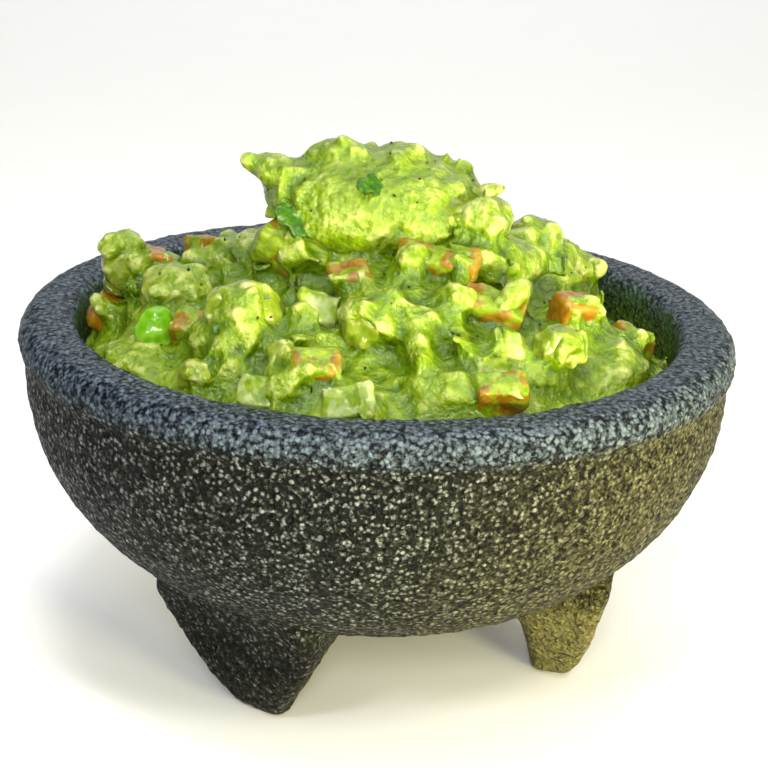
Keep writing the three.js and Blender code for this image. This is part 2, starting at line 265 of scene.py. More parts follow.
@dataclass(frozen=True)
class VolcanicStone(Finish):
    """Basalt, rough ground: a charcoal body with pale mineral grains and small pores.

    The eye sees a near black surface that glitters with millimetre grains, a painted warm
    light that turns the sunlit side khaki with a painted bounce light at its foot, and a rim
    that hands and pestle have worn smoother, whose slate grey is partly its own wear and
    partly a painted bluish sheen.
    """

    grain_mm: float = 1.5
    grain_share: float = 0.36
    drift_mm: float = 2.2
    drift_reach_mm: float = 0.9
    mottle_mm: float = 1.7
    pore_mm: float = 2.6
    pore_depth_mm: float = 1.4
    grain_height_mm: float = 0.9
    mottle_height_mm: float = 0.5
    body_dark: str = "050605"
    body_light: str = "1e2019"
    grain_grey: str = "565958"
    grain_pale: str = "7e8080"
    # A khaki copy of the stone's colours with painted warm light, standing in for the light that falls on the lower
    # right side.
    khaki_pit: str = "0a0a06"
    khaki_low: str = "3f3d22"
    khaki_high: str = "605c37"
    # Where the painted warm light lies: full on the lower right, none on the upper left.
    sunlit_slope: Triple = (9.0, 2.0, -6.0)
    sunlit_from: float = -0.75
    sunlit_to: float = 0.15
    sunlit_most: float = 0.9
    # The rim's slate ramp: partly the rim's own wear, partly a painted bluish sheen on the band.
    rim_dark: str = "06090c"
    rim_slate: str = "48535d"
    rim_pale: str = "626e78"
    band_foot: float = 98.5 * MM
    band_blend: float = 3 * MM
    smooth_foot: float = 100 * MM
    smooth_top: float = 106.5 * MM
    rim_roughness: float = 0.36
    rim_relief: float = 0.35
    # A flat khaki painted low down on the sunlit side, standing in for warm bounce light on the right foot.
    painted_bounce: str = "8e8752"
    painted_bounce_top: float = 38 * MM
    painted_bounce_full: float = 24 * MM
    painted_bounce_most: float = 0.42
    # The tool marks on the legs: real marks whose darkening low down also stands in for the shade on the legs.
    scratch_mm: float = 1.1
    scratch_tilt: float = 38
    scratch_length: float = 0.09
    marks_and_shade_top: float = 40 * MM
    marks_and_shade_full: float = 28 * MM
    stain: str = "3f5c16"
    stain_mm: float = 14
    shine: float = 0.1

    def wire(self, tree: Tree, shader: Node) -> None:
        """Wire grains, pores, the worn rim with its painted sheen, the painted warm light, bounce
        light and leg shade, and the stain that the mash leaves inside.

        Args:
            tree: The material's node tree.
            shader: Its Principled BSDF node.
        """
        place = add_node(tree, "TexCoord").outputs["Object"]
        height = add_node(tree, "SeparateXYZ", {0: place}).outputs[2]
        speckles = self._speckles(tree, place)
        sunlit = self._sunlit(tree, place)
        body = self._body(tree, speckles.level, sunlit)
        rimmed = self._rim(tree, height, speckles.level, body)
        bounce_lit = self._painted_bounce_light(tree, height, sunlit, rimmed)
        marked_and_shaded = self._tool_marks_and_painted_shade(tree, place, height, sunlit, bounce_lit)
        tree.links.new(self._stained(tree, place, marked_and_shaded), shader.inputs["Base Color"])
        smooth = add_node(
            tree,
            "MapRange",
            {VALUE: height, FROM_MIN: self.smooth_foot, FROM_MAX: self.smooth_top},
            interpolation_type="SMOOTHSTEP",
        ).outputs[0]
        glitter = add_node(
            tree, "MapRange", {VALUE: speckles.grain, TO_MIN: 0.6, TO_MAX: 0.3}
        ).outputs[0]
        satin = add_node(
            tree, "Mix", {FACTOR: smooth, NUMBER_A: glitter, NUMBER_B: self.rim_roughness}
        )
        tree.links.new(satin.outputs[0], shader.inputs["Roughness"])
        shader.inputs["Specular IOR Level"].default_value = self.shine
        self._relief(tree, shader, place, speckles, smooth)

    def _speckles(self, tree: Tree, place: Socket) -> Speckles:
        """Scatter round grains, some brighter than others, over a fine mottle.

        Args:
            tree: The material's node tree.
            place: Where a point lies on the stone.

        Returns:
            The patterns for the colour and the relief.
        """
        drift = add_node(
            tree,
            "TexNoise",
            {"Vector": place, "Scale": per_metre(self.drift_mm), "Detail": 2.0},
        ).outputs["Color"]
        nudge = add_node(
            tree, "VectorMath", {0: drift, "Scale": self.drift_reach_mm * MM}, operation="SCALE"
        ).outputs[0]
        warped = add_node(tree, "VectorMath", {0: place, 1: nudge}, operation="ADD").outputs[0]
        cells = add_node(
            tree, "TexVoronoi", {"Vector": warped, "Scale": per_metre(self.grain_mm)}
        ).outputs
        lot = add_node(tree, "SeparateColor", {0: cells["Color"]}).outputs[0]
        pebble = add_node(
            tree,
            "MapRange",
            {VALUE: cells["Distance"], FROM_MIN: 0.62, FROM_MAX: 0.2},
            interpolation_type="SMOOTHSTEP",
        ).outputs[0]
        bright = add_node(
            tree, "MapRange", {VALUE: lot, TO_MIN: 0.25, TO_MAX: 0.95}
        ).outputs[0]
        grain = add_node(tree, "Math", {0: bright, 1: pebble}, operation="MULTIPLY").outputs[0]
        mottle = add_node(
            tree,
            "TexNoise",
            {
                "Vector": warped,
                "Scale": per_metre(self.mottle_mm),
                "Detail": 4.0,
                "Roughness": 0.78,
            },
        ).outputs[0]
        level = add_node(
            tree, "Math", {0: grain, 1: self.grain_share, 2: mottle}, operation="MULTIPLY_ADD"
        ).outputs[0]
        return Speckles(cells["Distance"], grain, mottle, level)

    def _sunlit(self, tree: Tree, place: Socket) -> Socket:
        """Say how far a point lies on the sunlit side, where warm light is painted in khaki.

        Args:
            tree: The material's node tree.
            place: Where a point lies on the piece.

        Returns:
            0 in the shade, and the most at the right foot.
        """
        slope = add_node(
            tree, "VectorMath", {0: place, 1: self.sunlit_slope}, operation="DOT_PRODUCT"
        ).outputs["Value"]
        return add_node(
            tree,
            "MapRange",
            {
                VALUE: slope,
                FROM_MIN: self.sunlit_from,
                FROM_MAX: self.sunlit_to,
                TO_MAX: self.sunlit_most,
            },
            interpolation_type="SMOOTHSTEP",
        ).outputs[0]

    def _body(self, tree: Tree, level: Socket, sunlit: Socket) -> Socket:
        """Colour the rough stone: its own charcoal in the shade, and a khaki copy with painted warm light on the
        sunlit side.

        Args:
            tree: The material's node tree.
            level: How bright the speckles make a point.
            sunlit: How far it lies on the sunlit side.

        Returns:
            The stone's colour.
        """
        charcoal = add_node(
            tree,
            "ValToRGB",
            {0: level},
            stops=[
                (0.5, self.body_dark),
                (0.6, self.body_light),
                (0.72, self.grain_grey),
                (0.92, self.grain_pale),
            ],
        ).outputs[0]
        khaki = add_node(
            tree,
            "ValToRGB",
            {0: level},
            stops=[(0.45, self.khaki_pit), (0.56, self.khaki_low), (0.86, self.khaki_high)],
        ).outputs[0]
        # Painted warm light: the khaki copy takes over on the sunlit side.
        return add_node(
            tree,
            "Mix",
            {FACTOR: sunlit, COLOUR_A: charcoal, COLOUR_B: khaki},
            data_type="RGBA",
        ).outputs[COLOUR_OUT]

    def _rim(self, tree: Tree, height: Socket, level: Socket, under: Socket) -> Socket:
        """Turn the rim band slate grey above the rough wall: partly the rim's own wear, partly a painted bluish sheen.

        Args:
            tree: The material's node tree.
            height: How high a point lies.
            level: How bright the speckles make it.
            under: The colour underneath.

        Returns:
            The colour with the rim.
        """
        slate = add_node(
            tree,
            "ValToRGB",
            {0: level},
            stops=[(0.46, self.rim_dark), (0.62, self.rim_slate), (0.9, self.rim_pale)],
        ).outputs[0]
        band = add_node(
            tree,
            "MapRange",
            {
                VALUE: height,
                FROM_MIN: self.band_foot,
                FROM_MAX: self.band_foot + self.band_blend,
                TO_MAX: 0.9,
            },
        ).outputs[0]
        # Partly wear, partly painted sheen: the slate ramp takes over on the rim band.
        return add_node(
            tree, "Mix", {FACTOR: band, COLOUR_A: under, COLOUR_B: slate}, data_type="RGBA"
        ).outputs[COLOUR_OUT]

    def _painted_bounce_light(self, tree: Tree, height: Socket, sunlit: Socket, under: Socket) -> Socket:
        """Paint a khaki bounce light onto the smoother stone low down on the sunlit side.

        Args:
            tree: The material's node tree.
            height: How high a point lies.
            sunlit: How far it lies on the sunlit side.
            under: The colour underneath.

        Returns:
            The colour with the painted bounce light.
        """
        low = add_node(
            tree,
            "MapRange",
            {
                VALUE: height,
                FROM_MIN: self.painted_bounce_top,
                FROM_MAX: self.painted_bounce_full,
                TO_MAX: self.painted_bounce_most,
            },
            interpolation_type="SMOOTHSTEP",
        ).outputs[0]
        amount = add_node(
            tree, "MapRange", {VALUE: sunlit, FROM_MIN: 0.6, FROM_MAX: 0.9, TO_MAX: low}
        ).outputs[0]
        # Painted bounce light: flat khaki low down on the sunlit side.
        return add_node(
            tree,
            "Mix",
            {FACTOR: amount, COLOUR_A: under, COLOUR_B: colour(self.painted_bounce)},
            data_type="RGBA",
        ).outputs[COLOUR_OUT]

    def _tool_marks_and_painted_shade(
        self, tree: Tree, place: Socket, height: Socket, sunlit: Socket, under: Socket
    ) -> Socket:
        """Draw the slanting tool marks on the legs, whose darkening also paints shade on the legs, fainter on the
        sunlit side where light is painted.

        Args:
            tree: The material's node tree.
            place: Where a point lies on the stone.
            height: How high it lies.
            sunlit: How far it lies on the sunlit side.
            under: The colour that the marks darken.

        Returns:
            The colour with the marks on it.
        """
        slant = add_node(
            tree,
            "Mapping",
            {
                0: place,
                "Rotation": (0.0, math.radians(self.scratch_tilt), 0.0),
                "Scale": (1.0, 1.0, self.scratch_length),
            },
        ).outputs[0]
        lines = add_node(
            tree, "TexNoise", {0: slant, "Scale": per_metre(self.scratch_mm), "Detail": 3.0}
        ).outputs[0]
        faint = add_node(
            tree,
            "MapRange",
            {VALUE: sunlit, FROM_MIN: 0.2, FROM_MAX: 0.9, TO_MIN: 1.0, TO_MAX: 0.12},
        ).outputs[0]
        amount = add_node(
            tree,
            "MapRange",
            {
                VALUE: height,
                FROM_MIN: self.marks_and_shade_top,
                FROM_MAX: self.marks_and_shade_full,
                TO_MAX: faint,
            },
        ).outputs[0]
        marks = add_node(
            tree, "ValToRGB", {0: lines}, stops=[(0.42, "1c1c1c"), (0.62, "f0f0f0")]
        ).outputs[0]
        # Tool marks multiplied in, which also paint shade on the low legs.
        return add_node(
            tree,
            "Mix",
            {FACTOR: amount, COLOUR_A: under, COLOUR_B: marks},
            data_type="RGBA",
            blend_type="MULTIPLY",
        ).outputs[COLOUR_OUT]

    def _stained(self, tree: Tree, place: Socket, under: Socket) -> Socket:
        """Tint the ground inside of the bowl with a thin film of mash.

        Args:
            tree: The material's node tree.
            place: Where a point lies on the piece.
            under: The colour underneath.

        Returns:
            The colour with the stain.
        """
        inside = add_node(tree, "Attribute", attribute_name=INNER_WALL).outputs["Fac"]
        patches = add_node(
            tree,
            "TexNoise",
            {"Vector": place, "Scale": per_metre(self.stain_mm), "Detail": 4.0},
        ).outputs[0]
        patchy = add_node(
            tree,
            "MapRange",
            {VALUE: patches, FROM_MIN: 0.3, FROM_MAX: 0.6, TO_MIN: 0.2, TO_MAX: 0.85},
        ).outputs[0]
        amount = add_node(tree, "Math", {0: inside, 1: patchy}, operation="MULTIPLY").outputs[0]
        return add_node(
            tree,
            "Mix",
            {FACTOR: amount, COLOUR_A: under, COLOUR_B: colour(self.stain)},
            data_type="RGBA",
        ).outputs[COLOUR_OUT]

    def _relief(
        self, tree: Tree, shader: Node, place: Socket, speckles: Speckles, smooth: Socket
    ) -> None:
        """Raise the grains and sink the pores, less so on the worn rim.

        Args:
            tree: The material's node tree.
            shader: Its Principled BSDF node.
            place: Where a point lies on the stone.
            speckles: The patterns that the colour has too.
            smooth: How far a point lies on the worn rim.
        """
        pores = add_node(
            tree,
            "TexNoise",
            {
                "Vector": place,
                "Scale": per_metre(self.pore_mm),
                "Detail": 3.0,
                "Roughness": 0.6,
            },
        ).outputs[0]
        sunk = add_node(
            tree,
            "MapRange",
            {VALUE: pores, FROM_MIN: 0.36, FROM_MAX: 0.52},
            interpolation_type="SMOOTHSTEP",
        ).outputs[0]
        strength = add_node(
            tree, "MapRange", {VALUE: smooth, TO_MIN: 1.0, TO_MAX: self.rim_relief}
        ).outputs[0]
        normal = add_node(
            tree,
            "Bump",
            {"Strength": strength, "Distance": self.pore_depth_mm * MM, "Height": sunk},
        ).outputs[0]
        for height, height_mm, invert in (
            (speckles.distance, self.grain_height_mm, True),
            (speckles.mottle, self.mottle_height_mm, False),
        ):
            normal = add_node(
                tree,
                "Bump",
                {
                    "Strength": strength,
                    "Distance": height_mm * MM,
                    "Height": height,
                    "Normal": normal,
                },
                invert=invert,
            ).outputs[0]
        tree.links.new(normal, shader.inputs["Normal"])


@dataclass(frozen=True)
class WetFood(Finish):
    """Moist plant flesh: light goes in a little way, and water on it gives small glints.

    A piece of food in a mash is smeared with it, so each finish lays a film of the mash's
    colours over its own by "smear", and "juiced" says how much tomato juice it took up.
    """

    shades: tuple[str, str, str, str] = ("304a00", "567200", "748c0c", "b4ba68")
    smear_shades: tuple[str, str] = ("607c08", "82941e")
    smear: float = 0.0
    smear_mm: float = 6.5
    juice: str = "b08f20"
    juiced: float = 0.0
    juice_mm: float = 17
    patch_mm: float = 9.0
    fleck_mm: float = 3.2
    fleck_share: float = 0.6
    gloss: float = 0.3
    wetness: float = 0.7
    wet_roughness: float = 0.06
    sheen_level: float = 0.15
    water_ior: float = 1.4
    depth_mm: float = 2.0
    depth_by_channel: Triple = (0.8, 1.0, 0.25)
    glow: float = 0.14
    relief_mm: float = 0.5
    grain_mm: float = 2.2
    # The crease depth at which the painted shade is full, and the ridge height at which the painted light is full.
    crease_reach_mm: float = 0.45

    def wire(self, tree: Tree, shader: Node) -> None:
        """Wire the colour patches, the smear of mash, the wet gloss and the fine relief.

        Args:
            tree: The material's node tree.
            shader: Its Principled BSDF node.
        """
        place = add_node(tree, "TexCoord").outputs["Object"]
        flecks = add_node(
            tree,
            "TexNoise",
            {
                "Vector": place,
                "Scale": per_metre(self.fleck_mm),
                "Detail": 4.0,
                "Roughness": 0.62,
            },
        ).outputs[0]
        flesh = self._flesh(tree, place, flecks)
        juicy = self._juicy(tree, place, flesh)
        smeared = self._smeared(tree, place, flecks, juicy)
        tree.links.new(smeared, shader.inputs["Base Color"])
        roughness = add_node(
            tree,
            "MapRange",
            {
                VALUE: flecks,
                FROM_MIN: 0.35,
                FROM_MAX: 0.65,
                TO_MIN: self.gloss * 0.6,
                TO_MAX: self.gloss * 1.5,
            },
        ).outputs[0]
        tree.links.new(roughness, shader.inputs["Roughness"])
        for socket, value in (
            ("Subsurface Weight", self.glow),
            ("Subsurface Radius", self.depth_by_channel),
            ("Subsurface Scale", self.depth_mm * MM),
            ("Coat Weight", self.wetness),
            ("Coat Roughness", self.wet_roughness),
            ("IOR", self.water_ior),
            ("Specular IOR Level", self.sheen_level),
        ):
            shader.inputs[socket].default_value = value
        self._relief(tree, shader, place, flecks)

    def _flesh(self, tree: Tree, place: Socket, flecks: Socket) -> Socket:
        """Mix the food's own shades, with painted shade in the creases and painted light on the ridges.

        Args:
            tree: The material's node tree.
            place: Where a point lies on the piece.
            flecks: The fine pattern.

        Returns:
            The flesh's colour.
        """
        patches = add_node(
            tree,
            "TexNoise",
            {
                "Vector": place,
                "Scale": per_metre(self.patch_mm),
                "Detail": 3.0,
                "Distortion": 0.6,
            },
        ).outputs[0]
        blend = add_node(
            tree, "Mix", {FACTOR: self.fleck_share, NUMBER_A: patches, NUMBER_B: flecks}
        ).outputs[0]
        # Painted shade in the creases and painted light on the ridges, from how deep each point lies.
        hollow = add_node(tree, "Attribute", attribute_name=HOLLOW).outputs["Fac"]
        painted_crease_shade_and_ridge_light = add_node(
            tree,
            "MapRange",
            {
                VALUE: hollow,
                FROM_MIN: self.crease_reach_mm,
                FROM_MAX: -self.crease_reach_mm,
                TO_MIN: -0.15,
                TO_MAX: 0.22,
            },
        ).outputs[0]
        level = add_node(tree, "Math", {0: blend, 1: painted_crease_shade_and_ridge_light}, operation="ADD").outputs[0]
        return add_node(
            tree, "ValToRGB", {0: level}, stops=list(zip((0.2, 0.38, 0.58, 0.8), self.shades))
        ).outputs[0]

    def _juicy(self, tree: Tree, place: Socket, under: Socket) -> Socket:
        """Stain some patches with the juice of tomato, where the finish asks for it.

        Args:
            tree: The material's node tree.
            place: Where a point lies on the piece.
            under: The colour underneath.

        Returns:
            The colour with the juice.
        """
        if not self.juiced:
            return under
        soaked = add_node(
            tree,
            "TexNoise",
            {"Vector": place, "Scale": per_metre(self.juice_mm), "Detail": 5.0},
        ).outputs[0]
        edge = 0.7 - 0.2 * self.juiced
        amount = add_node(
            tree,
            "MapRange",
            {VALUE: soaked, FROM_MIN: edge, FROM_MAX: edge + 0.14, TO_MAX: 0.75},
            interpolation_type="SMOOTHSTEP",
        ).outputs[0]
        return add_node(
            tree,
            "Mix",
            {FACTOR: amount, COLOUR_A: under, COLOUR_B: colour(self.juice)},
            data_type="RGBA",
        ).outputs[COLOUR_OUT]

    def _smeared(self, tree: Tree, place: Socket, flecks: Socket, under: Socket) -> Socket:
        """Lay a patchy film of mash over the piece's own colour.

        Args:
            tree: The material's node tree.
            place: Where a point lies on the piece.
            flecks: The fine pattern.
            under: The colour underneath.

        Returns:
            The colour with the film.
        """
        if not self.smear:
            return under
        mash = add_node(
            tree, "ValToRGB", {0: flecks}, stops=list(zip((0.4, 0.6), self.smear_shades))
        ).outputs[0]
        film = add_node(
            tree,
            "TexNoise",
            {
                "Vector": place,
                "Scale": per_metre(self.smear_mm),
                "Detail": 5.0,
                "Distortion": 0.5,
            },
        ).outputs[0]
        edge = 0.72 - 0.42 * self.smear
        amount = add_node(
            tree,
            "MapRange",
            {VALUE: film, FROM_MIN: edge, FROM_MAX: edge + 0.07},
            interpolation_type="SMOOTHSTEP",
        ).outputs[0]
        return add_node(
            tree,
            "Mix",
            {FACTOR: amount, COLOUR_A: under, COLOUR_B: mash},
            data_type="RGBA",
        ).outputs[COLOUR_OUT]

    def _relief(self, tree: Tree, shader: Node, place: Socket, flecks: Socket) -> None:
        """Give the surface its soft lumps and the fine wet grain on them.

        Args:
            tree: The material's node tree.
            shader: Its Principled BSDF node.
            place: Where a point lies on the piece.
            flecks: The fine pattern, which lifts the lumps.
        """
        grain = add_node(
            tree,
            "TexNoise",
            {"Vector": place, "Scale": per_metre(self.grain_mm), "Detail": 1.0},
        ).outputs[0]
        lumps = add_node(
            tree,
            "Bump",
            {"Strength": 0.7, "Distance": 2 * self.relief_mm * MM, "Height": flecks},
        ).outputs[0]
        wet = add_node(
            tree,
            "Bump",
            {
                "Strength": 0.8,
                "Distance": self.relief_mm * MM,
                "Height": grain,
                "Normal": lumps,
            },
        ).outputs[0]
        tree.links.new(wet, shader.inputs["Normal"])
        tree.links.new(wet, shader.inputs["Coat Normal"])


@dataclass(frozen=True)
class PlainFloor(Finish):
    """A matt pale sweep of paper, with the slightest tooth."""

    shade: str = "f8f8f7"
    tone: str = "fbfbfa"
    tooth_mm: float = 40

    def wire(self, tree: Tree, shader: Node) -> None:
        """Wire a pale tone that hardly varies.

        Args:
            tree: The material's node tree.
            shader: Its Principled BSDF node.
        """
        place = add_node(tree, "TexCoord").outputs["Object"]
        tooth = add_node(
            tree, "TexNoise", {"Vector": place, "Scale": per_metre(self.tooth_mm)}
        ).outputs[0]
        paper = add_node(
            tree, "ValToRGB", {0: tooth}, stops=[(0.0, self.shade), (1.0, self.tone)]
        ).outputs[0]
        tree.links.new(paper, shader.inputs["Base Color"])
        shader.inputs["Roughness"].default_value = 0.9


# Basalt, chiselled and rough ground: dark, pitted and glittering, smoother on the rim.
STONE = VolcanicStone("basalt_rough_ground")

# Ripe avocado, pounded: yellow green, wet and lumpy, with painted shade that turns its creases dark green.
MASH = WetFood("avocado_mash", relief_mm=1.2)

# Ripe avocado, cut: creamier and smoother than the mash, with a little tomato juice on it.
FLESH = WetFood(
    "avocado_flesh",
    shades=("344a02", "5a720a", "788820", "b6b874"),
    smear=0.25,
    patch_mm=11,
    fleck_mm=4.5,
    gloss=0.26,
    relief_mm=0.4,
    juiced=0.25,
)

# Tomato, diced and stirred in: golden brown flesh that mostly hides under the mash.
TOMATO = WetFood(
    "tomato_flesh",
    shades=("4c2c06", "6a4408", "806010", "947e28"),
    smear=0.62,
    patch_mm=6,
    fleck_mm=2.4,
    gloss=0.16,
    wetness=0.45,
    relief_mm=0.35,
)

# Tomato, diced and left clean: a glossy orange brown that stands out of the green.
TOMATO_CLEAN = WetFood(
    "tomato_flesh_clean",
    shades=("583004", "784a06", "8a600e", "9a7c24"),
    smear=0.08,
    patch_mm=7,
    fleck_mm=3.0,
    gloss=0.14,
    wetness=0.5,
    relief_mm=0.2,
)

# White onion, chopped: pale, watery and translucent, so that the mash shows through it.
ONION = WetFood(
    "onion_translucent",
    shades=("566c20", "72883a", "8e9e56", "b6be86"),
    smear=0.55,
    patch_mm=7,
    fleck_mm=3.0,
    gloss=0.14,
    wetness=0.5,
    glow=0.6,
    depth_mm=4.0,
    relief_mm=0.3,
)

# Cilantro leaf, torn: thin, dark green and half shiny, the darkest thing in the heap.
LEAF = WetFood(
    "cilantro_leaf",
    shades=("0e2200", "1c3c02", "2e5606", "588418"),
    smear=0.15,
    patch_mm=4,
    fleck_mm=1.8,
    gloss=0.2,
    wetness=0.45,
    glow=0.15,
    depth_mm=0.8,
    relief_mm=0.3,
)

# Green chile, cut across: a tight waxy skin of a clear green, with sharp glints.
CHILE = WetFood(
    "green_chile_skin",
    shades=("326800", "488002", "62980c", "90b43a"),
    smear=0.08,
    patch_mm=8,
    fleck_mm=3.5,
    gloss=0.1,
    wetness=0.6,
    relief_mm=0.12,
)

# Black pepper, cracked: hard, matt, brown black chips.
PEPPER = WetFood(
    "cracked_pepper",
    shades=("0c0906", "17110b", "241a10", "3a2c1a"),
    gloss=0.5,
    wetness=0.2,
    glow=0.0,
    relief_mm=0.1,
)

# Paper, matt: the ground that the feet stand on, which only takes their shadow.
FLOOR = PlainFloor("pale_paper")


# --------------------------------------------------------------------- modelling helpers


def deselect_all() -> None:
    """Leave edit mode, and leave nothing selected."""
    if bpy.context.object and bpy.context.object.mode != "OBJECT":
        bpy.ops.object.mode_set(mode="OBJECT")
    bpy.ops.object.select_all(action="DESELECT")


def activate(obj: Object) -> None:
    """Select one object alone and make it active."""
    deselect_all()
    obj.select_set(True)
    bpy.context.view_layer.objects.active = obj


def settle(obj: Object) -> Object:
    """Put an object's place, turn and size into its mesh, and give it back."""
    activate(obj)
    bpy.ops.object.transform_apply(location=True, rotation=True, scale=True)
    return obj


def join(pieces: list[Object], name: str) -> Object:
    """Join several objects into one.

    Args:
        pieces: The objects; the first one stays.
        name: The joined object's name.

    Returns:
        The joined object.
    """
    deselect_all()
    for piece in pieces:
        piece.select_set(True)
    bpy.context.view_layer.objects.active = pieces[0]
    bpy.ops.object.join()
    pieces[0].name = name
    return pieces[0]


def finish_with(obj: Object, kind: str, **settings: object) -> Object:
    """Add a modifier with its settings and apply it.

    Args:
        obj: The object to change.
        kind: The modifier's type, such as "REMESH".
        **settings: The modifier's properties.

    Returns:
        The same object.
    """
    activate(obj)
    modifier = obj.modifiers.new(kind.lower(), kind)
    for name, value in settings.items():
        setattr(modifier, name, value)
    bpy.ops.object.modifier_apply(modifier=modifier.name)
    return obj


class Lumpiness(Enum):
    """The kinds of unevenness: a texture, and its weights for the two nearest cells.

    SOFT swells like kneaded dough, PITTED has round pits, and CREASED has flat lumps with
    sharp creases between them.
    """

    SOFT = ("CLOUDS", 1.0, 0.0)
    PITTED = ("VORONOI", 1.0, 0.0)
    CREASED = ("VORONOI", -1.0, 1.0)


def roughen(
    obj: Object, kind: Lumpiness, size_mm: float, height_mm: float, detail: int = 2
) -> Object:
    """Push a surface in and out along its normals.

    Args:
        obj: The object to roughen.
        kind: The kind of unevenness.
        size_mm: How wide one bump is.
        height_mm: How far the highest and lowest points lie apart.
        detail: How many finer sizes of bump are added.

    Returns:
        The same object.
    """
    name = f"{kind.name.lower()}_{size_mm:g}_{detail}"
    texture_type, nearest, second = kind.value
    texture = bpy.data.textures.get(name) or bpy.data.textures.new(name, texture_type)
    texture.noise_scale = size_mm * MM
    if kind is Lumpiness.SOFT:
        texture.noise_depth = detail
    else:
        texture.weight_1 = nearest
        texture.weight_2 = second
    return finish_with(
        obj,
        "DISPLACE",
        texture=texture,
        texture_coords="LOCAL",
        strength=height_mm * MM,
        mid_level=0.5,
    )


def remesh(obj: Object, voxel_mm: float, smoothing: int = 4) -> Object:
    """Melt an object's parts into one skin and soften it.

    Args:
        obj: The object, whose parts may overlap.
        voxel_mm: How fine the new skin is.
        smoothing: How many times it is softened.

    Returns:
        The same object.
    """
    finish_with(obj, "REMESH", mode="VOXEL", voxel_size=voxel_mm * MM)
    if smoothing:
        finish_with(obj, "SMOOTH", factor=0.5, iterations=smoothing)
    return obj


def mark_hollows(obj: Object, rounds: int = 8) -> Object:
    """Note on every point of a mesh how deep it lies in a crease, in millimetres.

    Args:
        obj: The object, whose finish paints shade into its creases and light onto its ridges.
        rounds: How far round each point the surface is averaged, in edges.

    Returns:
        The same object.
    """
    mesh = obj.data
    count = len(mesh.vertices)
    spots = np.empty(count * 3)
    normals = np.empty(count * 3)
    ends = np.empty(len(mesh.edges) * 2, dtype=np.int64)
    mesh.vertices.foreach_get("co", spots)
    mesh.vertices.foreach_get("normal", normals)
    mesh.edges.foreach_get("vertices", ends)
    spots = spots.reshape(-1, 3)
    first, second = ends.reshape(-1, 2).T
    share = np.maximum(np.bincount(ends, minlength=count), 1)
    mean = spots
    for _ in range(rounds):
        sums = [
            np.bincount(first, mean[second, axis], count)
            + np.bincount(second, mean[first, axis], count)
            for axis in range(3)
        ]
        mean = np.stack(sums, axis=1) / share[:, None]
    depth = np.einsum("ij,ij->i", mean - spots, normals.reshape(-1, 3)) / MM
    layer = mesh.attributes.get(HOLLOW) or mesh.attributes.new(HOLLOW, "FLOAT", "POINT")
    layer.data.foreach_set("value", depth.astype(np.float32))
    return obj


def dress(obj: Object, finish: Finish, slot: str) -> Object:
    """Give an object its material and say which slot of the record it stands for.

    Args:
        obj: The finished piece.
        finish: What it is made of.
        slot: The slot's name in the record.

    Returns:
        The same object, shaded smooth.
    """
    obj.data.materials.clear()
    obj.data.materials.append(finish.material())
    activate(obj)
    bpy.ops.object.shade_smooth()
    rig.slot(obj, slot)
    return obj


def copy_of_node(node: str, name: str) -> Object:
    """Copy a node of the frame, with its loose triangles merged into one closed skin.

    Args:
        node: The node's name in the frame.
        name: The copy's name.

    Returns:
        The copy, which leaves the node itself untouched.
    """
    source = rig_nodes()[node]
    copy = bpy.data.objects.new(name, source.data.copy())
    bpy.context.scene.collection.objects.link(copy)
    activate(copy)
    bpy.ops.object.mode_set(mode="EDIT")
    bpy.ops.mesh.select_all(action="SELECT")
    bpy.ops.mesh.remove_doubles(threshold=0.01 * MM)
    bpy.ops.object.mode_set(mode="OBJECT")
    return copy


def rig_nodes() -> dict[str, Object]:
    """Give the frame's nodes by name."""
    return {obj["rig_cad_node"]: obj for obj in bpy.data.objects if "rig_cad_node" in obj}


def spun(points: list[tuple[float, float]], steps: int, name: str) -> Object:
    """Spin a profile round the bowl's axis, as a turner's template does.

    Args:
        points: Radius and height of each point, in metres, from axis to axis.
        steps: How many steps go round.
        name: The object's name.

    Returns:
        A closed skin with its faces pointing out.
    """
    deselect_all()
    bpy.ops.mesh.primitive_plane_add(size=MM, location=(0, 0, 0))
    obj = bpy.context.object
    obj.name = name
    bpy.ops.object.mode_set(mode="EDIT")
    bpy.ops.mesh.select_all(action="SELECT")
    bpy.ops.mesh.merge(type="CENTER")
    bpy.ops.transform.translate(value=(points[0][0], 0, points[0][1]))
    for (r0, z0), (r1, z1) in zip(points, points[1:]):
        bpy.ops.mesh.extrude_region_move(
            TRANSFORM_OT_translate={"value": (r1 - r0, 0, z1 - z0)}
        )
    bpy.ops.mesh.select_all(action="SELECT")
    bpy.ops.mesh.spin(steps=steps, angle=2 * math.pi, center=(0, 0, 0), axis=(0, 0, 1))
    bpy.ops.mesh.select_all(action="SELECT")
    bpy.ops.mesh.remove_doubles(threshold=0.02 * MM)
    bpy.ops.mesh.normals_make_consistent(inside=False)
    bpy.ops.object.mode_set(mode="OBJECT")
    return obj


@dataclass(frozen=True)
class Lump:
    """One rounded or cut lump of food.

    Attributes:
        at: Its middle, in millimetres.
        size: Its three sides, in millimetres.
        turn: Its turn about X, Y and Z, in degrees.
        cut: Whether it has the flat faces of a knife cut.
    """

    at: Triple
    size: Triple
    turn: Triple = (0, 0, 0)
    cut: bool = False

    def build(self) -> Object:
        """Model the lump as a ball or as a cut block with soft edges.

        Returns:
            The lump, which is then melted into its neighbours.
        """
        deselect_all()
        place = [value * MM for value in self.at]
        turn = [math.radians(angle) for angle in self.turn]
        if self.cut:
            bpy.ops.mesh.primitive_cube_add(size=1, location=place, rotation=turn)
        else:
            bpy.ops.mesh.primitive_ico_sphere_add(
                subdivisions=3, radius=0.5, location=place, rotation=turn
            )
        obj = bpy.context.object
        obj.scale = [side * MM for side in self.size]
        settle(obj)
        if self.cut:
            finish_with(obj, "BEVEL", width=0.16 * min(self.size) * MM, segments=2)
        return obj


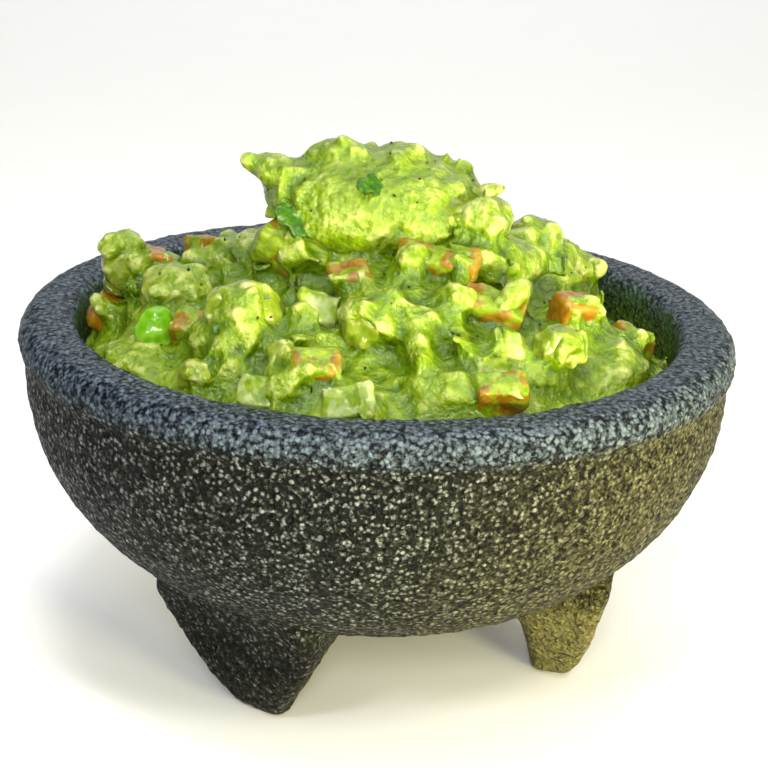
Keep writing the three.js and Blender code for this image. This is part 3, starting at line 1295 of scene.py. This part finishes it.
def bowl_curve(
    radius: float, top: float, bottom: float, fullness: float, steps: int
) -> list[tuple[float, float]]:
    """Draw the section of a bowl, from the axis at its bottom up to its brim.

    Args:
        radius: Radius at the brim.
        top: Height of the brim.
        bottom: Height of the lowest point.
        fullness: 2 for an ellipse, more for a squarer bowl.
        steps: How many steps the curve has.

    Returns:
        Radius and height of each point.
    """
    points = []
    for i in range(steps + 1):
        angle = (i / steps) * math.pi / 2
        out = math.sin(angle) ** (2 / fullness)
        down = max(math.cos(angle), 0.0) ** (2 / fullness)
        points.append((radius * out, top - (top - bottom) * down))
    return points


def edge_arc(
    centre: tuple[float, float], radius: float, start: float, end: float, steps: int
) -> list[tuple[float, float]]:
    """Draw the section of a rounded edge.

    Args:
        centre: Radius and height of the arc's centre.
        radius: The arc's own radius.
        start: The angle of its first point, in degrees.
        end: The angle of its last point, in degrees.
        steps: How many steps the arc has.

    Returns:
        Radius and height of each point.
    """
    angles = [math.radians(start + (end - start) * i / steps) for i in range(steps + 1)]
    return [
        (centre[0] + radius * math.cos(a), centre[1] + radius * math.sin(a)) for a in angles
    ]


# --------------------------------------------------------------------- the mortar


@dataclass(frozen=True)
class Leg:
    """One leg.

    Attributes:
        bearing: Its direction from the bowl's axis, in degrees from +X.
        foot_radius: How far out its outer face is at the table, in millimetres.
        knee_radius: The same at the knee, where the face turns steeper.
        shoulder_radius: The same where the leg runs into the bowl.
    """

    bearing: float
    foot_radius: float
    knee_radius: float
    shoulder_radius: float


class Section(NamedTuple):
    """A level section of a leg, in millimetres: its height, and its sides out and across."""

    height: float
    depth: float
    width: float


@dataclass
class StoneMortar:
    """The bowl with its three legs, cut from one block.

    The wall's section is an ellipse made a little squarer by "fullness". A proud band runs
    round under the rim, and stands "band_step" out of the wall.
    """

    rim_width: float = 16.5 * MM
    rim_band: float = 11.3 * MM
    band_step: float = 1.8 * MM
    outer_round: float = 6.5 * MM
    inner_round: float = 3.5 * MM
    underside: float = 22.5 * MM
    floor_thickness: float = 19.5 * MM
    fullness: float = 2.2
    turns: int = 160
    voxel_mm: float = 1.35
    hollow_steps: int = 18
    wall_steps: int = 22
    leg_edge: float = 3 * MM
    stain_reach: float = 1.5 * MM
    stain_fade: float = 6 * MM
    inner_face_share: float = 0.65
    legs: tuple[Leg, ...] = (
        Leg(-127, 50, 60, 71),
        Leg(-3, 61, 68, 74),
        Leg(117, 55, 64, 73),
    )
    knee_height: float = 24
    shoulder_height: float = 48
    sections: tuple[Section, ...] = (
        Section(-2, 12, 17),
        Section(1.5, 14, 20),
        Section(8, 17, 31),
        Section(16, 21, 43),
        Section(24, 26, 53),
        Section(34, 33, 60),
        Section(41, 34, 61),
    )

    def build(self) -> Object:
        """Model the whole stone and put its surface on it.

        Returns:
            The stone, which stands for the frame's mortar.
        """
        _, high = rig.box("mortar")
        rim_radius, rim_height = high.x, high.z
        bowl = spun(self._profile(rim_radius, rim_height), self.turns, "mortar_stone")
        legs = [self._leg(leg) for leg in self.legs]
        stone = join([bowl, *legs], "mortar_stone")
        remesh(stone, self.voxel_mm, smoothing=5)
        # The swells of hand work, then the pits, then the tooth of the rough grinding.
        roughen(stone, Lumpiness.SOFT, 9, 0.7, detail=3)
        roughen(stone, Lumpiness.PITTED, 3.2, -0.5)
        roughen(stone, Lumpiness.SOFT, 2.6, 0.5, detail=1)
        self._grind_feet_flat(stone)
        self._mark_inner_wall(stone, rim_radius, rim_height)
        dress(stone, STONE, "stone")
        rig.ride(stone, "mortar")
        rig.replaces(stone, "mortar")
        LOG.info("mortar: %d faces", len(stone.data.polygons))
        return stone

    def _profile(self, rim_radius: float, rim_height: float) -> list[tuple[float, float]]:
        """Draw the bowl's section: outer wall, proud rim band, flat top and hollow.

        Args:
            rim_radius: How far the rim reaches from the bowl's axis.
            rim_height: How high it stands above the table.

        Returns:
            Radius and height of each point, from axis to axis.
        """
        inner_radius = rim_radius - self.rim_width
        wall_radius = rim_radius - self.band_step
        cavity_top = rim_height - self.inner_round
        cavity_floor = self.underside + self.floor_thickness
        outer_centre = (rim_radius - self.outer_round, rim_height - self.outer_round)
        inner_centre = (inner_radius + self.inner_round, cavity_top)
        wall_top = rim_height - self.rim_band
        hollow = bowl_curve(
            inner_radius, cavity_top, cavity_floor, self.fullness, self.hollow_steps
        )
        return [
            *bowl_curve(wall_radius, wall_top, self.underside, self.fullness, self.wall_steps),
            *edge_arc(outer_centre, self.outer_round, -30, 90, 8),
            *edge_arc(inner_centre, self.inner_round, 90, 180, 5),
            *reversed(hollow[:-1]),
        ]

    def _grind_feet_flat(self, stone: Object) -> None:
        """Cut the feet off level with the table and close the cuts.

        Args:
            stone: The roughened stone, whose legs reach below the table.
        """
        activate(stone)
        bpy.ops.object.mode_set(mode="EDIT")
        bpy.ops.mesh.select_all(action="SELECT")
        bpy.ops.mesh.bisect(
            plane_co=(0, 0, 0), plane_no=(0, 0, 1), use_fill=True, clear_inner=True
        )
        bpy.ops.object.mode_set(mode="OBJECT")

    def _mark_inner_wall(
        self, stone: Object, rim_radius: float, rim_height: float
    ) -> None:
        """Mark the points that lie on the ground hollow, which the mash stains.

        Args:
            stone: The finished stone.
            rim_radius: How far the rim reaches from the bowl's axis.
            rim_height: How high it stands above the table.
        """
        mesh = stone.data
        spots = np.empty(len(mesh.vertices) * 3)
        mesh.vertices.foreach_get("co", spots)
        x, y, z = spots.reshape(-1, 3).T
        reach = rim_radius - self.rim_width + self.stain_reach
        depth = rim_height - self.underside - self.floor_thickness + self.stain_reach
        out = (np.hypot(x, y) / reach) ** self.fullness
        down = (np.clip(rim_height - z, 0, None) / depth) ** self.fullness
        below_brim = np.clip((rim_height - z) / self.stain_fade, 0, 1)
        marks = np.where(out + down < 1, below_brim, 0.0)
        layer = mesh.attributes.new(INNER_WALL, "FLOAT", "POINT")
        layer.data.foreach_set("value", marks.astype(np.float32))

    def _outer_face(self, leg: Leg, height: float) -> float:
        """Give the radius of a leg's outer face at a height.

        Args:
            leg: The leg.
            height: The height above the table, in millimetres.

        Returns:
            The radius from the bowl's axis, in millimetres.
        """
        if height < self.knee_height:
            share = math.sqrt(max(height, 0) / self.knee_height)
            return leg.foot_radius + (leg.knee_radius - leg.foot_radius) * share
        share = (height - self.knee_height) / (self.shoulder_height - self.knee_height)
        return leg.knee_radius + (leg.shoulder_radius - leg.knee_radius) * share

    def _leg(self, leg: Leg) -> Object:
        """Model one leg: a wedge pulled up from its foot, section by section.

        Args:
            leg: Where it stands and how it leans.

        Returns:
            The leg in its place, reaching into the bowl's wall.
        """
        deselect_all()
        first = self.sections[0]
        bpy.ops.mesh.primitive_plane_add(size=1, location=(0, 0, 0))
        obj = bpy.context.object
        bpy.ops.object.mode_set(mode="EDIT")
        bpy.ops.mesh.select_all(action="SELECT")
        middle = self._outer_face(leg, 0) - first.depth / 2
        bpy.ops.transform.resize(
            value=(first.depth * MM, first.width * MM, 1), center_override=(0, 0, 0)
        )
        bpy.ops.transform.translate(value=(middle * MM, 0, 0))
        for below, above in zip(self.sections, self.sections[1:]):
            old = self._outer_face(leg, below.height) - below.depth / 2
            new = self._outer_face(leg, above.height) - above.depth / 2
            rise = above.height - below.height
            bpy.ops.mesh.extrude_region_move(
                TRANSFORM_OT_translate={"value": ((new - old) * MM, 0, rise * MM)}
            )
            bpy.ops.transform.resize(
                value=(above.depth / below.depth, above.width / below.width, 1),
                center_override=(new * MM, 0, 0),
            )
        bpy.ops.object.mode_set(mode="OBJECT")
        self._narrow_inner_face(obj)
        finish_with(obj, "BEVEL", width=self.leg_edge, segments=2, limit_method="ANGLE")
        obj.rotation_euler = (0, 0, math.radians(leg.bearing))
        return settle(obj)

    def _narrow_inner_face(self, obj: Object) -> None:
        """Draw in the side of a leg that looks at the bowl's axis, and mend its normals.

        Args:
            obj: The leg, still standing along +X.
        """
        by_height: dict[int, list[bpy.types.MeshVertex]] = {}
        for vertex in obj.data.vertices:
            by_height.setdefault(round(vertex.co.z / MM * 10), []).append(vertex)
        for vertex in obj.data.vertices:
            vertex.select = False
        for level in by_height.values():
            middle = sum(v.co.x for v in level) / len(level)
            for vertex in level:
                vertex.select = vertex.co.x < middle
        bpy.ops.object.mode_set(mode="EDIT")
        bpy.ops.mesh.select_mode(type="VERT")
        bpy.ops.transform.resize(
            value=(1, self.inner_face_share, 1), center_override=(0, 0, 0)
        )
        bpy.ops.mesh.select_all(action="SELECT")
        bpy.ops.mesh.normals_make_consistent(inside=False)
        bpy.ops.object.mode_set(mode="OBJECT")


# --------------------------------------------------------------------- the mash


@dataclass
class MashHeap:
    """The mash: a bed that fills the bowl, and the lumpy heap that stands on it.

    The dome rises from the fill line by "rise", and big lumps and two hollows give it the
    heap's outline. Crumbs and dabs of mash then cover it, and creases part them.
    """

    brim_height: float = 104.8 * MM
    brim_gap: float = 0.6 * MM
    fill_line: float = 101 * MM
    rise: float = 32 * MM
    slope: float = 1.4
    fullness: float = 2.2
    bowl_steps: int = 16
    dome_steps: int = 12
    turns: int = 96
    split_height: float = 93 * MM
    overlap: float = 2 * MM
    body_voxel_mm: float = 1.6
    bed_voxel_mm: float = 2.0
    voxel_mm: float = 0.95
    crumbs: int = 130
    crumb_sides: tuple[float, ...] = (8.0, 11.0, 14.0, 18.0)
    crumb_spacing: float = 6.2 * MM
    crumb_foot: float = 10 * MM
    crumb_reach: float = 76 * MM
    long_crumb: Triple = (0.5, 0.65, 1.5)
    round_crumb: Triple = (0.7, 0.85, 1.1)
    long_share: float = 0.4
    cut_share: float = 0.3
    dabs_per_piece: int = 2
    chunk_mm: float = 15
    crease_mm: float = 4.2
    seed: int = 7
    lumps: tuple[Lump, ...] = (
        Lump((-8, -6, 126), (62, 46, 26)),
        Lump((22, -8, 126), (52, 46, 24)),
        Lump((5, -34, 119), (44, 34, 24)),
        Lump((32, -42, 110), (46, 36, 23)),
        Lump((50, -22, 110), (36, 42, 22)),
        Lump((62, -30, 105), (30, 36, 18)),
        Lump((-34, -42, 113), (40, 34, 20)),
        Lump((-56, -18, 110), (32, 36, 22)),
        Lump((-70, -4, 104), (26, 32, 18)),
        Lump((-64, 2, 109), (22, 26, 20)),
        Lump((-64, -36, 104), (26, 30, 16)),
        Lump((-10, -62, 105), (42, 26, 16)),
        Lump((20, -62, 107), (36, 28, 18)),
        Lump((11, -60, 116), (10, 36, 9), (32, 0, 8)),
        Lump((25, -57, 116), (9, 30, 8), (30, 0, 26)),
        Lump((0, 32, 118), (64, 46, 28)),
        Lump((-34, 22, 115), (42, 38, 22)),
        Lump((32, 40, 110), (36, 34, 18)),
        Lump((-10, 58, 106), (40, 30, 18)),
        Lump((44, 20, 117), (28, 34, 22)),
        Lump((56, 36, 105), (24, 30, 18)),
    )
    hollows: tuple[Lump, ...] = (
        Lump((72, 20, 116), (42, 80, 50)),
        Lump((-44, 58, 118), (60, 34, 36)),
    )

    def build(self) -> Object:
        """Model both parts of the mash.

        Returns:
            The heap, which stands for the frame's mash.
        """
        body = self._body()
        bed = body.copy()
        bed.data = body.data.copy()
        bpy.context.scene.collection.objects.link(bed)
        bed.name = "mash_bed"
        self._cut(bed, keep_below=True)
        remesh(bed, self.bed_voxel_mm, smoothing=2)
        self._cut(body, keep_below=False)
        heap = join([body, *self._crumb_shapes(body), *self._dabs()], "mash_surface")
        remesh(heap, self.voxel_mm, smoothing=7)
        self._crease(heap)
        self._cut(heap, keep_below=False)
        for piece in (bed, heap):
            mark_hollows(piece)
            dress(piece, MASH, "mash")
            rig.ride(piece, "guacamole")
        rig.replaces(heap, "mash_heap")
        LOG.info("mash: %d faces on the heap", len(heap.data.polygons))
        return heap

    def _body(self) -> Object:
        """Model the fill of the cavity with its dome and the big lumps on it.

        Returns:
            The body, melted into one skin.
        """
        low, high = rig.box("mash_heap")
        brim = high.x
        bowl = bowl_curve(brim, self.brim_height, low.z, self.fullness, self.bowl_steps)
        profile = [point for point in bowl if point[1] < self.fill_line]
        for i in range(self.dome_steps, -1, -1):
            share = i / self.dome_steps
            height = self.fill_line + self.rise * (1 - share**self.slope)
            profile.append((share * (brim - self.brim_gap), height))
        fill = spun(profile, self.turns, "mash_body")
        for hollow in self.hollows:
            cutter = hollow.build()
            finish_with(fill, "BOOLEAN", operation="DIFFERENCE", object=cutter)
            bpy.data.objects.remove(cutter)
        body = join([fill, *[lump.build() for lump in self.lumps]], "mash_body")
        return remesh(body, self.body_voxel_mm, smoothing=2)

    def _cut(self, obj: Object, keep_below: bool) -> None:
        """Cut a body level at the height where the bed ends and close the cut.

        Args:
            obj: The body to cut.
            keep_below: Whether the bed stays, a little overlap included, or the heap.
        """
        activate(obj)
        bpy.ops.object.mode_set(mode="EDIT")
        bpy.ops.mesh.select_all(action="SELECT")
        overlap = self.overlap if keep_below else 0.0
        bpy.ops.mesh.bisect(
            plane_co=(0, 0, self.split_height + overlap),
            plane_no=(0, 0, 1),
            use_fill=True,
            clear_outer=keep_below,
            clear_inner=not keep_below,
        )
        bpy.ops.object.mode_set(mode="OBJECT")

    def _crumb_shapes(self, body: Object) -> list[Object]:
        """Scatter cut and rounded bits over the heap, half sunk, clear of the loose pieces.

        Args:
            body: The heap's body, on whose surface they lie.

        Returns:
            The bits, which are then melted into the heap.
        """
        rng = random.Random(self.seed)
        whole = ("mortar", "mash_heap", "top_spoonful")
        loose = [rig.box(node) for node in sorted(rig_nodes()) if node not in whole]
        spots = [
            (vertex.co.copy(), vertex.normal.copy())
            for vertex in body.data.vertices
            if vertex.normal.z > 0.1 and vertex.co.z > self.split_height + self.crumb_foot
        ]
        rng.shuffle(spots)
        taken = [((low + high) / 2, (high - low).length / 3) for low, high in loose]
        shapes = []
        for place, normal in spots:
            if len(shapes) >= self.crumbs:
                break
            near = any((place - spot).length < reach for spot, reach in taken)
            if near or place.xy.length > self.crumb_reach:
                continue
            taken.append((place, self.crumb_spacing))
            side = rng.choice(self.crumb_sides)
            factors = self.long_crumb if rng.random() < self.long_share else self.round_crumb
            size = tuple(side * factor * rng.uniform(0.85, 1.15) for factor in factors)
            turn = tuple(rng.uniform(0, 180) for _ in range(3))
            at = tuple((place - normal * rng.uniform(0.2, 0.36) * side * MM) / MM)
            shapes.append(Lump(at, size, turn, cut=rng.random() < self.cut_share).build())
        return shapes

    def _dabs(self) -> list[Object]:
        """Dab mash over the corners of the dice, so that they look stirred in.

        Returns:
            The dabs, which are then melted into the heap.
        """
        rng = random.Random(self.seed + 1)
        dabs = []
        for node in sorted(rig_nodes()):
            if not node.startswith(("tomato", "onion", "avocado")):
                continue
            low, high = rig.box(node)
            middle = (low + high) / 2
            corners = sorted(
                {tuple(round(c, 4) for c in v.co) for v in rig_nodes()[node].data.vertices}
            )
            seen = [Vector(c) for c in corners if c[2] > middle.z - 2 * MM and c[1] < middle.y]
            share = 1 if node.startswith("tomato") else 2
            for corner in rng.sample(seen, min(self.dabs_per_piece * share, len(seen))):
                side = 0.8 * (high - low).length / MM * rng.uniform(0.45, 0.75)
                size = (side, side * rng.uniform(0.7, 1.0), side * rng.uniform(0.6, 0.9))
                turn = tuple(rng.uniform(0, 180) for _ in range(3))
                at = tuple(corner.lerp(middle, rng.uniform(0.3, 0.5)) / MM)
                dabs.append(Lump(at, size, turn).build())
        return dabs

    def _crease(self, heap: Object) -> None:
        """Fold the surface into chunks with creases between them.

        Args:
            heap: The heap with its crumbs and dabs.
        """
        roughen(heap, Lumpiness.CREASED, self.chunk_mm, self.crease_mm)
        roughen(heap, Lumpiness.CREASED, self.chunk_mm / 2.4, self.crease_mm / 5)
        roughen(heap, Lumpiness.SOFT, 8, 2.4, detail=1)
        roughen(heap, Lumpiness.SOFT, 3.2, 0.5, detail=1)
        finish_with(heap, "SMOOTH", factor=0.5, iterations=1)


@dataclass
class TopSpoonful:
    """The last spoonful, with its tip hanging out to the left."""

    body_voxel_mm: float = 1.2
    voxel_mm: float = 0.55
    seed: int = 21
    crumbs: int = 26
    crumb_sides: tuple[float, ...] = (6.0, 8.0, 10.0, 12.0)
    crumb_shape: Triple = (0.65, 0.8, 1.3)
    crumb_foot: float = 136 * MM
    crumb_depth: float = 0.25
    cut_share: float = 0.15
    lumps: tuple[Lump, ...] = (
        Lump((-2, -2, 143), (66, 48, 28)),
        Lump((-29, -8, 150.5), (18, 18, 12), (0, 15, 0)),
        Lump((-34, -8, 152.0), (10, 9, 6), (0, 10, 0)),
        Lump((-12, -2, 152), (24, 24, 16)),
        Lump((5, 0, 152), (20, 20, 15)),
        Lump((17, -5, 143), (26, 28, 18)),
        Lump((24, -4, 138), (28, 32, 18)),
        Lump((-6, -15, 139), (44, 24, 22)),
        Lump((10, -16, 137), (32, 20, 18)),
    )

    def build(self) -> Object:
        """Model the spoonful from its lumps and the small bits in it.

        Returns:
            The spoonful, which stands for the frame's own.
        """
        body = join([lump.build() for lump in self.lumps], "spoonful")
        remesh(body, self.body_voxel_mm, smoothing=4)
        rng = random.Random(self.seed)
        vertices = [
            vertex
            for vertex in body.data.vertices
            if vertex.normal.z > -0.2 and vertex.co.z > self.crumb_foot
        ]
        bits = []
        for vertex in rng.sample(vertices, self.crumbs):
            side = rng.choice(self.crumb_sides)
            size = tuple(side * factor * rng.uniform(0.85, 1.15) for factor in self.crumb_shape)
            turn = tuple(rng.uniform(0, 180) for _ in range(3))
            at = tuple((vertex.co - vertex.normal * side * self.crumb_depth * MM) / MM)
            bits.append(Lump(at, size, turn, cut=rng.random() < self.cut_share).build())
        spoonful = join([body, *bits], "spoonful_on_top")
        remesh(spoonful, self.voxel_mm, smoothing=12)
        roughen(spoonful, Lumpiness.CREASED, 15, 2.2)
        roughen(spoonful, Lumpiness.CREASED, 6.5, 0.6)
        roughen(spoonful, Lumpiness.SOFT, 5, 1.6, detail=2)
        finish_with(spoonful, "SMOOTH", factor=0.5, iterations=1)
        mark_hollows(spoonful, rounds=12)
        dress(spoonful, MASH, "mash")
        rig.ride(spoonful, "guacamole")
        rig.replaces(spoonful, "top_spoonful")
        LOG.info("spoonful: %d faces", len(spoonful.data.polygons))
        return spoonful


# --------------------------------------------------------------------- the loose pieces


@dataclass
class Morsel:
    """One loose piece of food, made from its solid in the frame.

    Attributes:
        node: The solid's name in the frame.
        name: The piece's own name.
        finish: What it is made of.
        slot: The slot's name in the record.
        swell_mm: How far it swells out to the mash round it.
        voxel_mm: How fine its skin is.
        smoothing: How many times its edges are softened.
        lumpy: Size and height of its soft lumps, in millimetres.
        fine: Size and height of the finer unevenness on them.
        creases_mm: How deep its creases are, if it has any.
        crease_size_mm: How far its creases lie apart.
    """

    node: str
    name: str
    finish: Finish
    slot: str
    swell_mm: float = 0.5
    voxel_mm: float = 0.45
    smoothing: int = 4
    lumpy: tuple[float, float] = (5.0, 1.2)
    fine: tuple[float, float] = (2.0, 0.4)
    creases_mm: float = 0.0
    crease_size_mm: float = 8

    def build(self) -> Object:
        """Swell the solid out to the mash round it and give it a natural surface.

        Returns:
            The piece, which stands for its solid.
        """
        obj = copy_of_node(self.node, self.name)
        remesh(obj, self.voxel_mm, self.smoothing)
        roughen(obj, Lumpiness.SOFT, *self.lumpy, detail=1)
        roughen(obj, Lumpiness.SOFT, *self.fine, detail=1)
        if self.creases_mm:
            roughen(obj, Lumpiness.CREASED, self.crease_size_mm, self.creases_mm)
            finish_with(obj, "SMOOTH", factor=0.5, iterations=3)
        finish_with(obj, "DISPLACE", strength=self.swell_mm * MM, mid_level=0.0)
        mark_hollows(obj)
        dress(obj, self.finish, self.slot)
        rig.ride(obj, "guacamole")
        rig.replaces(obj, self.node)
        return obj


@dataclass
class LoosePieces:
    """All the pieces that can be told apart in the heap."""

    clean_tomatoes: tuple[int, ...] = (3, 4, 9)
    kinds: tuple[str, ...] = ("tomato_dice", "onion_piece", "avocado_chunk", "chile_piece")

    def build(self) -> list[Object]:
        """Build every loose piece, in the order of the nodes' names.

        Returns:
            The pieces.
        """
        made = []
        for node in sorted(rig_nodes()):
            kind, _, number = node.rpartition("_")
            if kind in self.kinds:
                made.append(self._morsel(node, kind, int(number)).build())
        LOG.info("loose pieces: %d", len(made))
        return made

    def _morsel(self, node: str, kind: str, number: int) -> Morsel:
        """Say how one piece of a kind is made.

        Args:
            node: Its solid's name in the frame.
            kind: What kind of food it is.
            number: Its number among its kind.

        Returns:
            The piece, not yet built.
        """
        if kind == "tomato_dice":
            return Morsel(
                node,
                f"tomato_{number}",
                TOMATO_CLEAN if number in self.clean_tomatoes else TOMATO,
                "tomato",
                swell_mm=0.3,
                voxel_mm=0.5,
                smoothing=20,
                lumpy=(8, 3.2),
            )
        if kind == "onion_piece":
            return Morsel(
                node,
                f"onion_{number}",
                ONION,
                "onion",
                swell_mm=0.2,
                voxel_mm=0.5,
                smoothing=45,
                lumpy=(9, 3.0),
                creases_mm=1.5,
            )
        if kind == "chile_piece":
            return Morsel(
                node,
                f"chile_{number}",
                CHILE,
                "chile",
                smoothing=12,
                lumpy=(6, 1.8),
                fine=(3, 0.3),
            )
        return Morsel(
            node,
            f"avocado_{number}",
            FLESH,
            "avocado",
            swell_mm=0.4,
            voxel_mm=0.5,
            smoothing=8,
            lumpy=(7, 3.0),
            creases_mm=2.6,
        )


@dataclass
class CilantroLeaf:
    """One leaf: a thin lobed blade, creased and curled, lying where its solid lies."""

    node: str
    name: str
    voxel_mm: float = 0.3
    vein_mm: float = 3.2
    curl_mm: float = 4
    fold_mm: float = 1.3

    def build(self) -> Object:
        """Model the leaf from the outline of its solid.

        Returns:
            The leaf, which stands for its solid.
        """
        obj = copy_of_node(self.node, self.name)
        remesh(obj, self.voxel_mm, smoothing=2)
        roughen(obj, Lumpiness.CREASED, self.vein_mm, self.fold_mm)
        roughen(obj, Lumpiness.SOFT, self.curl_mm, self.fold_mm)
        mark_hollows(obj)
        dress(obj, LEAF, "cilantro")
        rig.ride(obj, "guacamole")
        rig.replaces(obj, self.node)
        return obj


@dataclass
class PepperSpecks:
    """Cracked black pepper, scattered over what can be seen of the heap."""

    count: int = 90
    seed: int = 5
    sizes_mm: tuple[float, float] = (0.5, 1.1)
    reach: float = 74 * MM
    drop_height: float = 200 * MM

    def build(self, ground: list[Object]) -> Object:
        """Drop the specks onto the food.

        Args:
            ground: The pieces that the specks can land on.

        Returns:
            All the specks as one object.
        """
        rng = random.Random(self.seed)
        graph = bpy.context.evaluated_depsgraph_get()
        trees = [BVHTree.FromObject(obj, graph) for obj in ground]
        specks = []
        while len(specks) < self.count:
            out = self.reach * math.sqrt(rng.random())
            angle = rng.uniform(0, 2 * math.pi)
            start = Vector((out * math.cos(angle), out * math.sin(angle), self.drop_height))
            hits = [tree.ray_cast(start, -UP)[0] for tree in trees]
            heights = [hit.z for hit in hits if hit]
            if not heights:
                continue
            deselect_all()
            side = rng.uniform(*self.sizes_mm) * MM
            bpy.ops.mesh.primitive_ico_sphere_add(
                subdivisions=2,
                radius=side / 2,
                location=(start.x, start.y, max(heights) + side * 0.15),
                rotation=(rng.uniform(0, 3), rng.uniform(0, 3), 0),
                scale=(1, rng.uniform(0.6, 1), rng.uniform(0.5, 0.9)),
            )
            specks.append(settle(bpy.context.object))
        obj = join(specks, "pepper_specks")
        roughen(obj, Lumpiness.SOFT, 0.5, 0.3, detail=1)
        dress(obj, PEPPER, "mash")
        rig.ride(obj, "guacamole")
        LOG.info("pepper: %d specks", len(specks))
        return obj


# --------------------------------------------------------------------- the set


@dataclass(frozen=True)
class SoftLight:
    """One square soft light.

    Attributes:
        name: Its name.
        place: Where it hangs.
        target: Where it points.
        size: Its side, in metres.
        power: Its power, in watts.
        tint: The colour of its light.
    """

    name: str
    place: Triple
    target: Triple
    size: float
    power: float
    tint: str = "ffffff"

    def hang(self) -> None:
        """Hang the light, out of the camera's sight, and point it at its target."""
        data = bpy.data.lights.new(self.name, "AREA")
        data.energy = self.power
        data.size = self.size
        data.color = colour(self.tint)[:3]
        light = bpy.data.objects.new(self.name, data)
        light.visible_camera = False
        light.location = self.place
        aim = Vector(self.target) - Vector(self.place)
        light.rotation_euler = aim.to_track_quat("-Z", "Y").to_euler()
        bpy.context.scene.collection.objects.link(light)


@dataclass
class Studio:
    """The camera, the soft lights and the pale floor.

    Two large lights from above give the soft light, a warm one from the right and a low one
    under it give the khaki side of the stone, one over the far floor keeps it white, and four
    small ones give the food its glints.
    """

    camera_place: Triple = (0.0, -0.6513, 0.3162)
    camera_forward: Triple = (0.00337, 0.94308, -0.33254)
    camera_right: Triple = (0.99927, 0.00947, 0.037)
    lens_mm: float = 112.1
    floor_side: float = 30
    floor_drop: float = 0.2 * MM
    surround: float = 0.56
    dim_side: str = "70757c"
    overhead: str = "f2f4f6"
    bright_side: str = "fff6e0"
    lights: tuple[SoftLight, ...] = (
        SoftLight("key_window", (-0.05, -0.5, 1.1), (0, 0, 0.1), 0.4, 1.1, "fdfdff"),
        SoftLight("top_panel", (0.1, 0.25, 1.0), (0, 0, 0.1), 0.6, 3.0),
        SoftLight("warm_side", (0.95, -0.45, 0.14), (0, 0, 0.05), 0.4, 5.6, "f4eebc"),
        SoftLight("low_bounce", (0.34, -0.45, 0.05), (0.06, 0, 0.03), 0.16, 9, "f6eeb4"),
        SoftLight("far_floor", (0, 1.5, 0.7), (0, 1.5, 0), 1.2, 4.5),
        SoftLight("glint_0", (-0.35, -0.7, 0.6), (0, 0, 0.12), 0.14, 2.4),
        SoftLight("glint_1", (0.3, -0.6, 0.75), (0, 0, 0.12), 0.14, 2.4),
        SoftLight("glint_2", (0.0, -0.75, 0.45), (0, 0, 0.12), 0.14, 2.4),
        SoftLight("glint_3", (-0.1, -0.3, 0.85), (0, 0, 0.12), 0.14, 2.4),
    )

    def build(self) -> None:
        """Set up everything that isn't part of the object."""
        self._camera()
        self._floor()
        self._world()
        for light in self.lights:
            light.hang()
        bpy.context.scene.view_settings.view_transform = "Standard"

    def _camera(self) -> None:
        """Place the camera by its own axes."""
        forward = Vector(self.camera_forward).normalized()
        right = Vector(self.camera_right).normalized()
        up = right.cross(forward).normalized()
        right = forward.cross(up)
        turn = Matrix((right, up, -forward)).transposed()
        data = bpy.data.cameras.new("camera")
        data.lens = self.lens_mm
        data.clip_start = 0.01
        camera = bpy.data.objects.new("camera", data)
        camera.matrix_world = Matrix.Translation(self.camera_place) @ turn.to_4x4()
        bpy.context.scene.collection.objects.link(camera)
        bpy.context.scene.camera = camera

    def _floor(self) -> None:
        """Lay the pale floor under the feet."""
        deselect_all()
        bpy.ops.mesh.primitive_plane_add(
            size=self.floor_side, location=(0, 0, -self.floor_drop)
        )
        floor = settle(bpy.context.object)
        floor.name = "floor"
        floor.data.materials.append(FLOOR.material())
        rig.stage(floor)

    def _world(self) -> None:
        """Light everything a little from all round, dim from -X and bright from +X."""
        world = bpy.data.worlds.new("soft_surround")
        world.use_nodes = True
        bpy.context.scene.world = world
        tree = world.node_tree
        place = add_node(tree, "TexCoord").outputs["Generated"]
        across = add_node(tree, "SeparateXYZ", {0: place}).outputs[0]
        side = add_node(
            tree, "MapRange", {VALUE: across, FROM_MIN: -0.9, FROM_MAX: 0.9}
        ).outputs[0]
        tint = add_node(
            tree,
            "ValToRGB",
            {0: side},
            stops=[(0.0, self.dim_side), (0.5, self.overhead), (1.0, self.bright_side)],
        )
        background = tree.nodes["Background"]
        tree.links.new(tint.outputs[0], background.inputs["Color"])
        background.inputs["Strength"].default_value = self.surround


def main() -> None:
    """Build the whole set around the frame, in order."""
    logging.basicConfig(level=logging.INFO, format="%(message)s")
    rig.load()
    cad_box = [list(corner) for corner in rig.bounds()]
    Studio().build()
    StoneMortar().build()
    heap = MashHeap().build()
    spoonful = TopSpoonful().build()
    pieces = LoosePieces().build()
    for node in sorted(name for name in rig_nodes() if name.startswith("cilantro_leaf")):
        CilantroLeaf(node, node.replace("cilantro_leaf", "cilantro")).build()
    PepperSpecks().build([heap, spoonful, *pieces])
    visual_box = [list(corner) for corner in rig.bounds()]
    with open("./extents.json", "w", encoding="utf-8") as out:
        json.dump({"cad": cad_box, "visual": visual_box}, out)


if __name__ == "__main__":
    main()
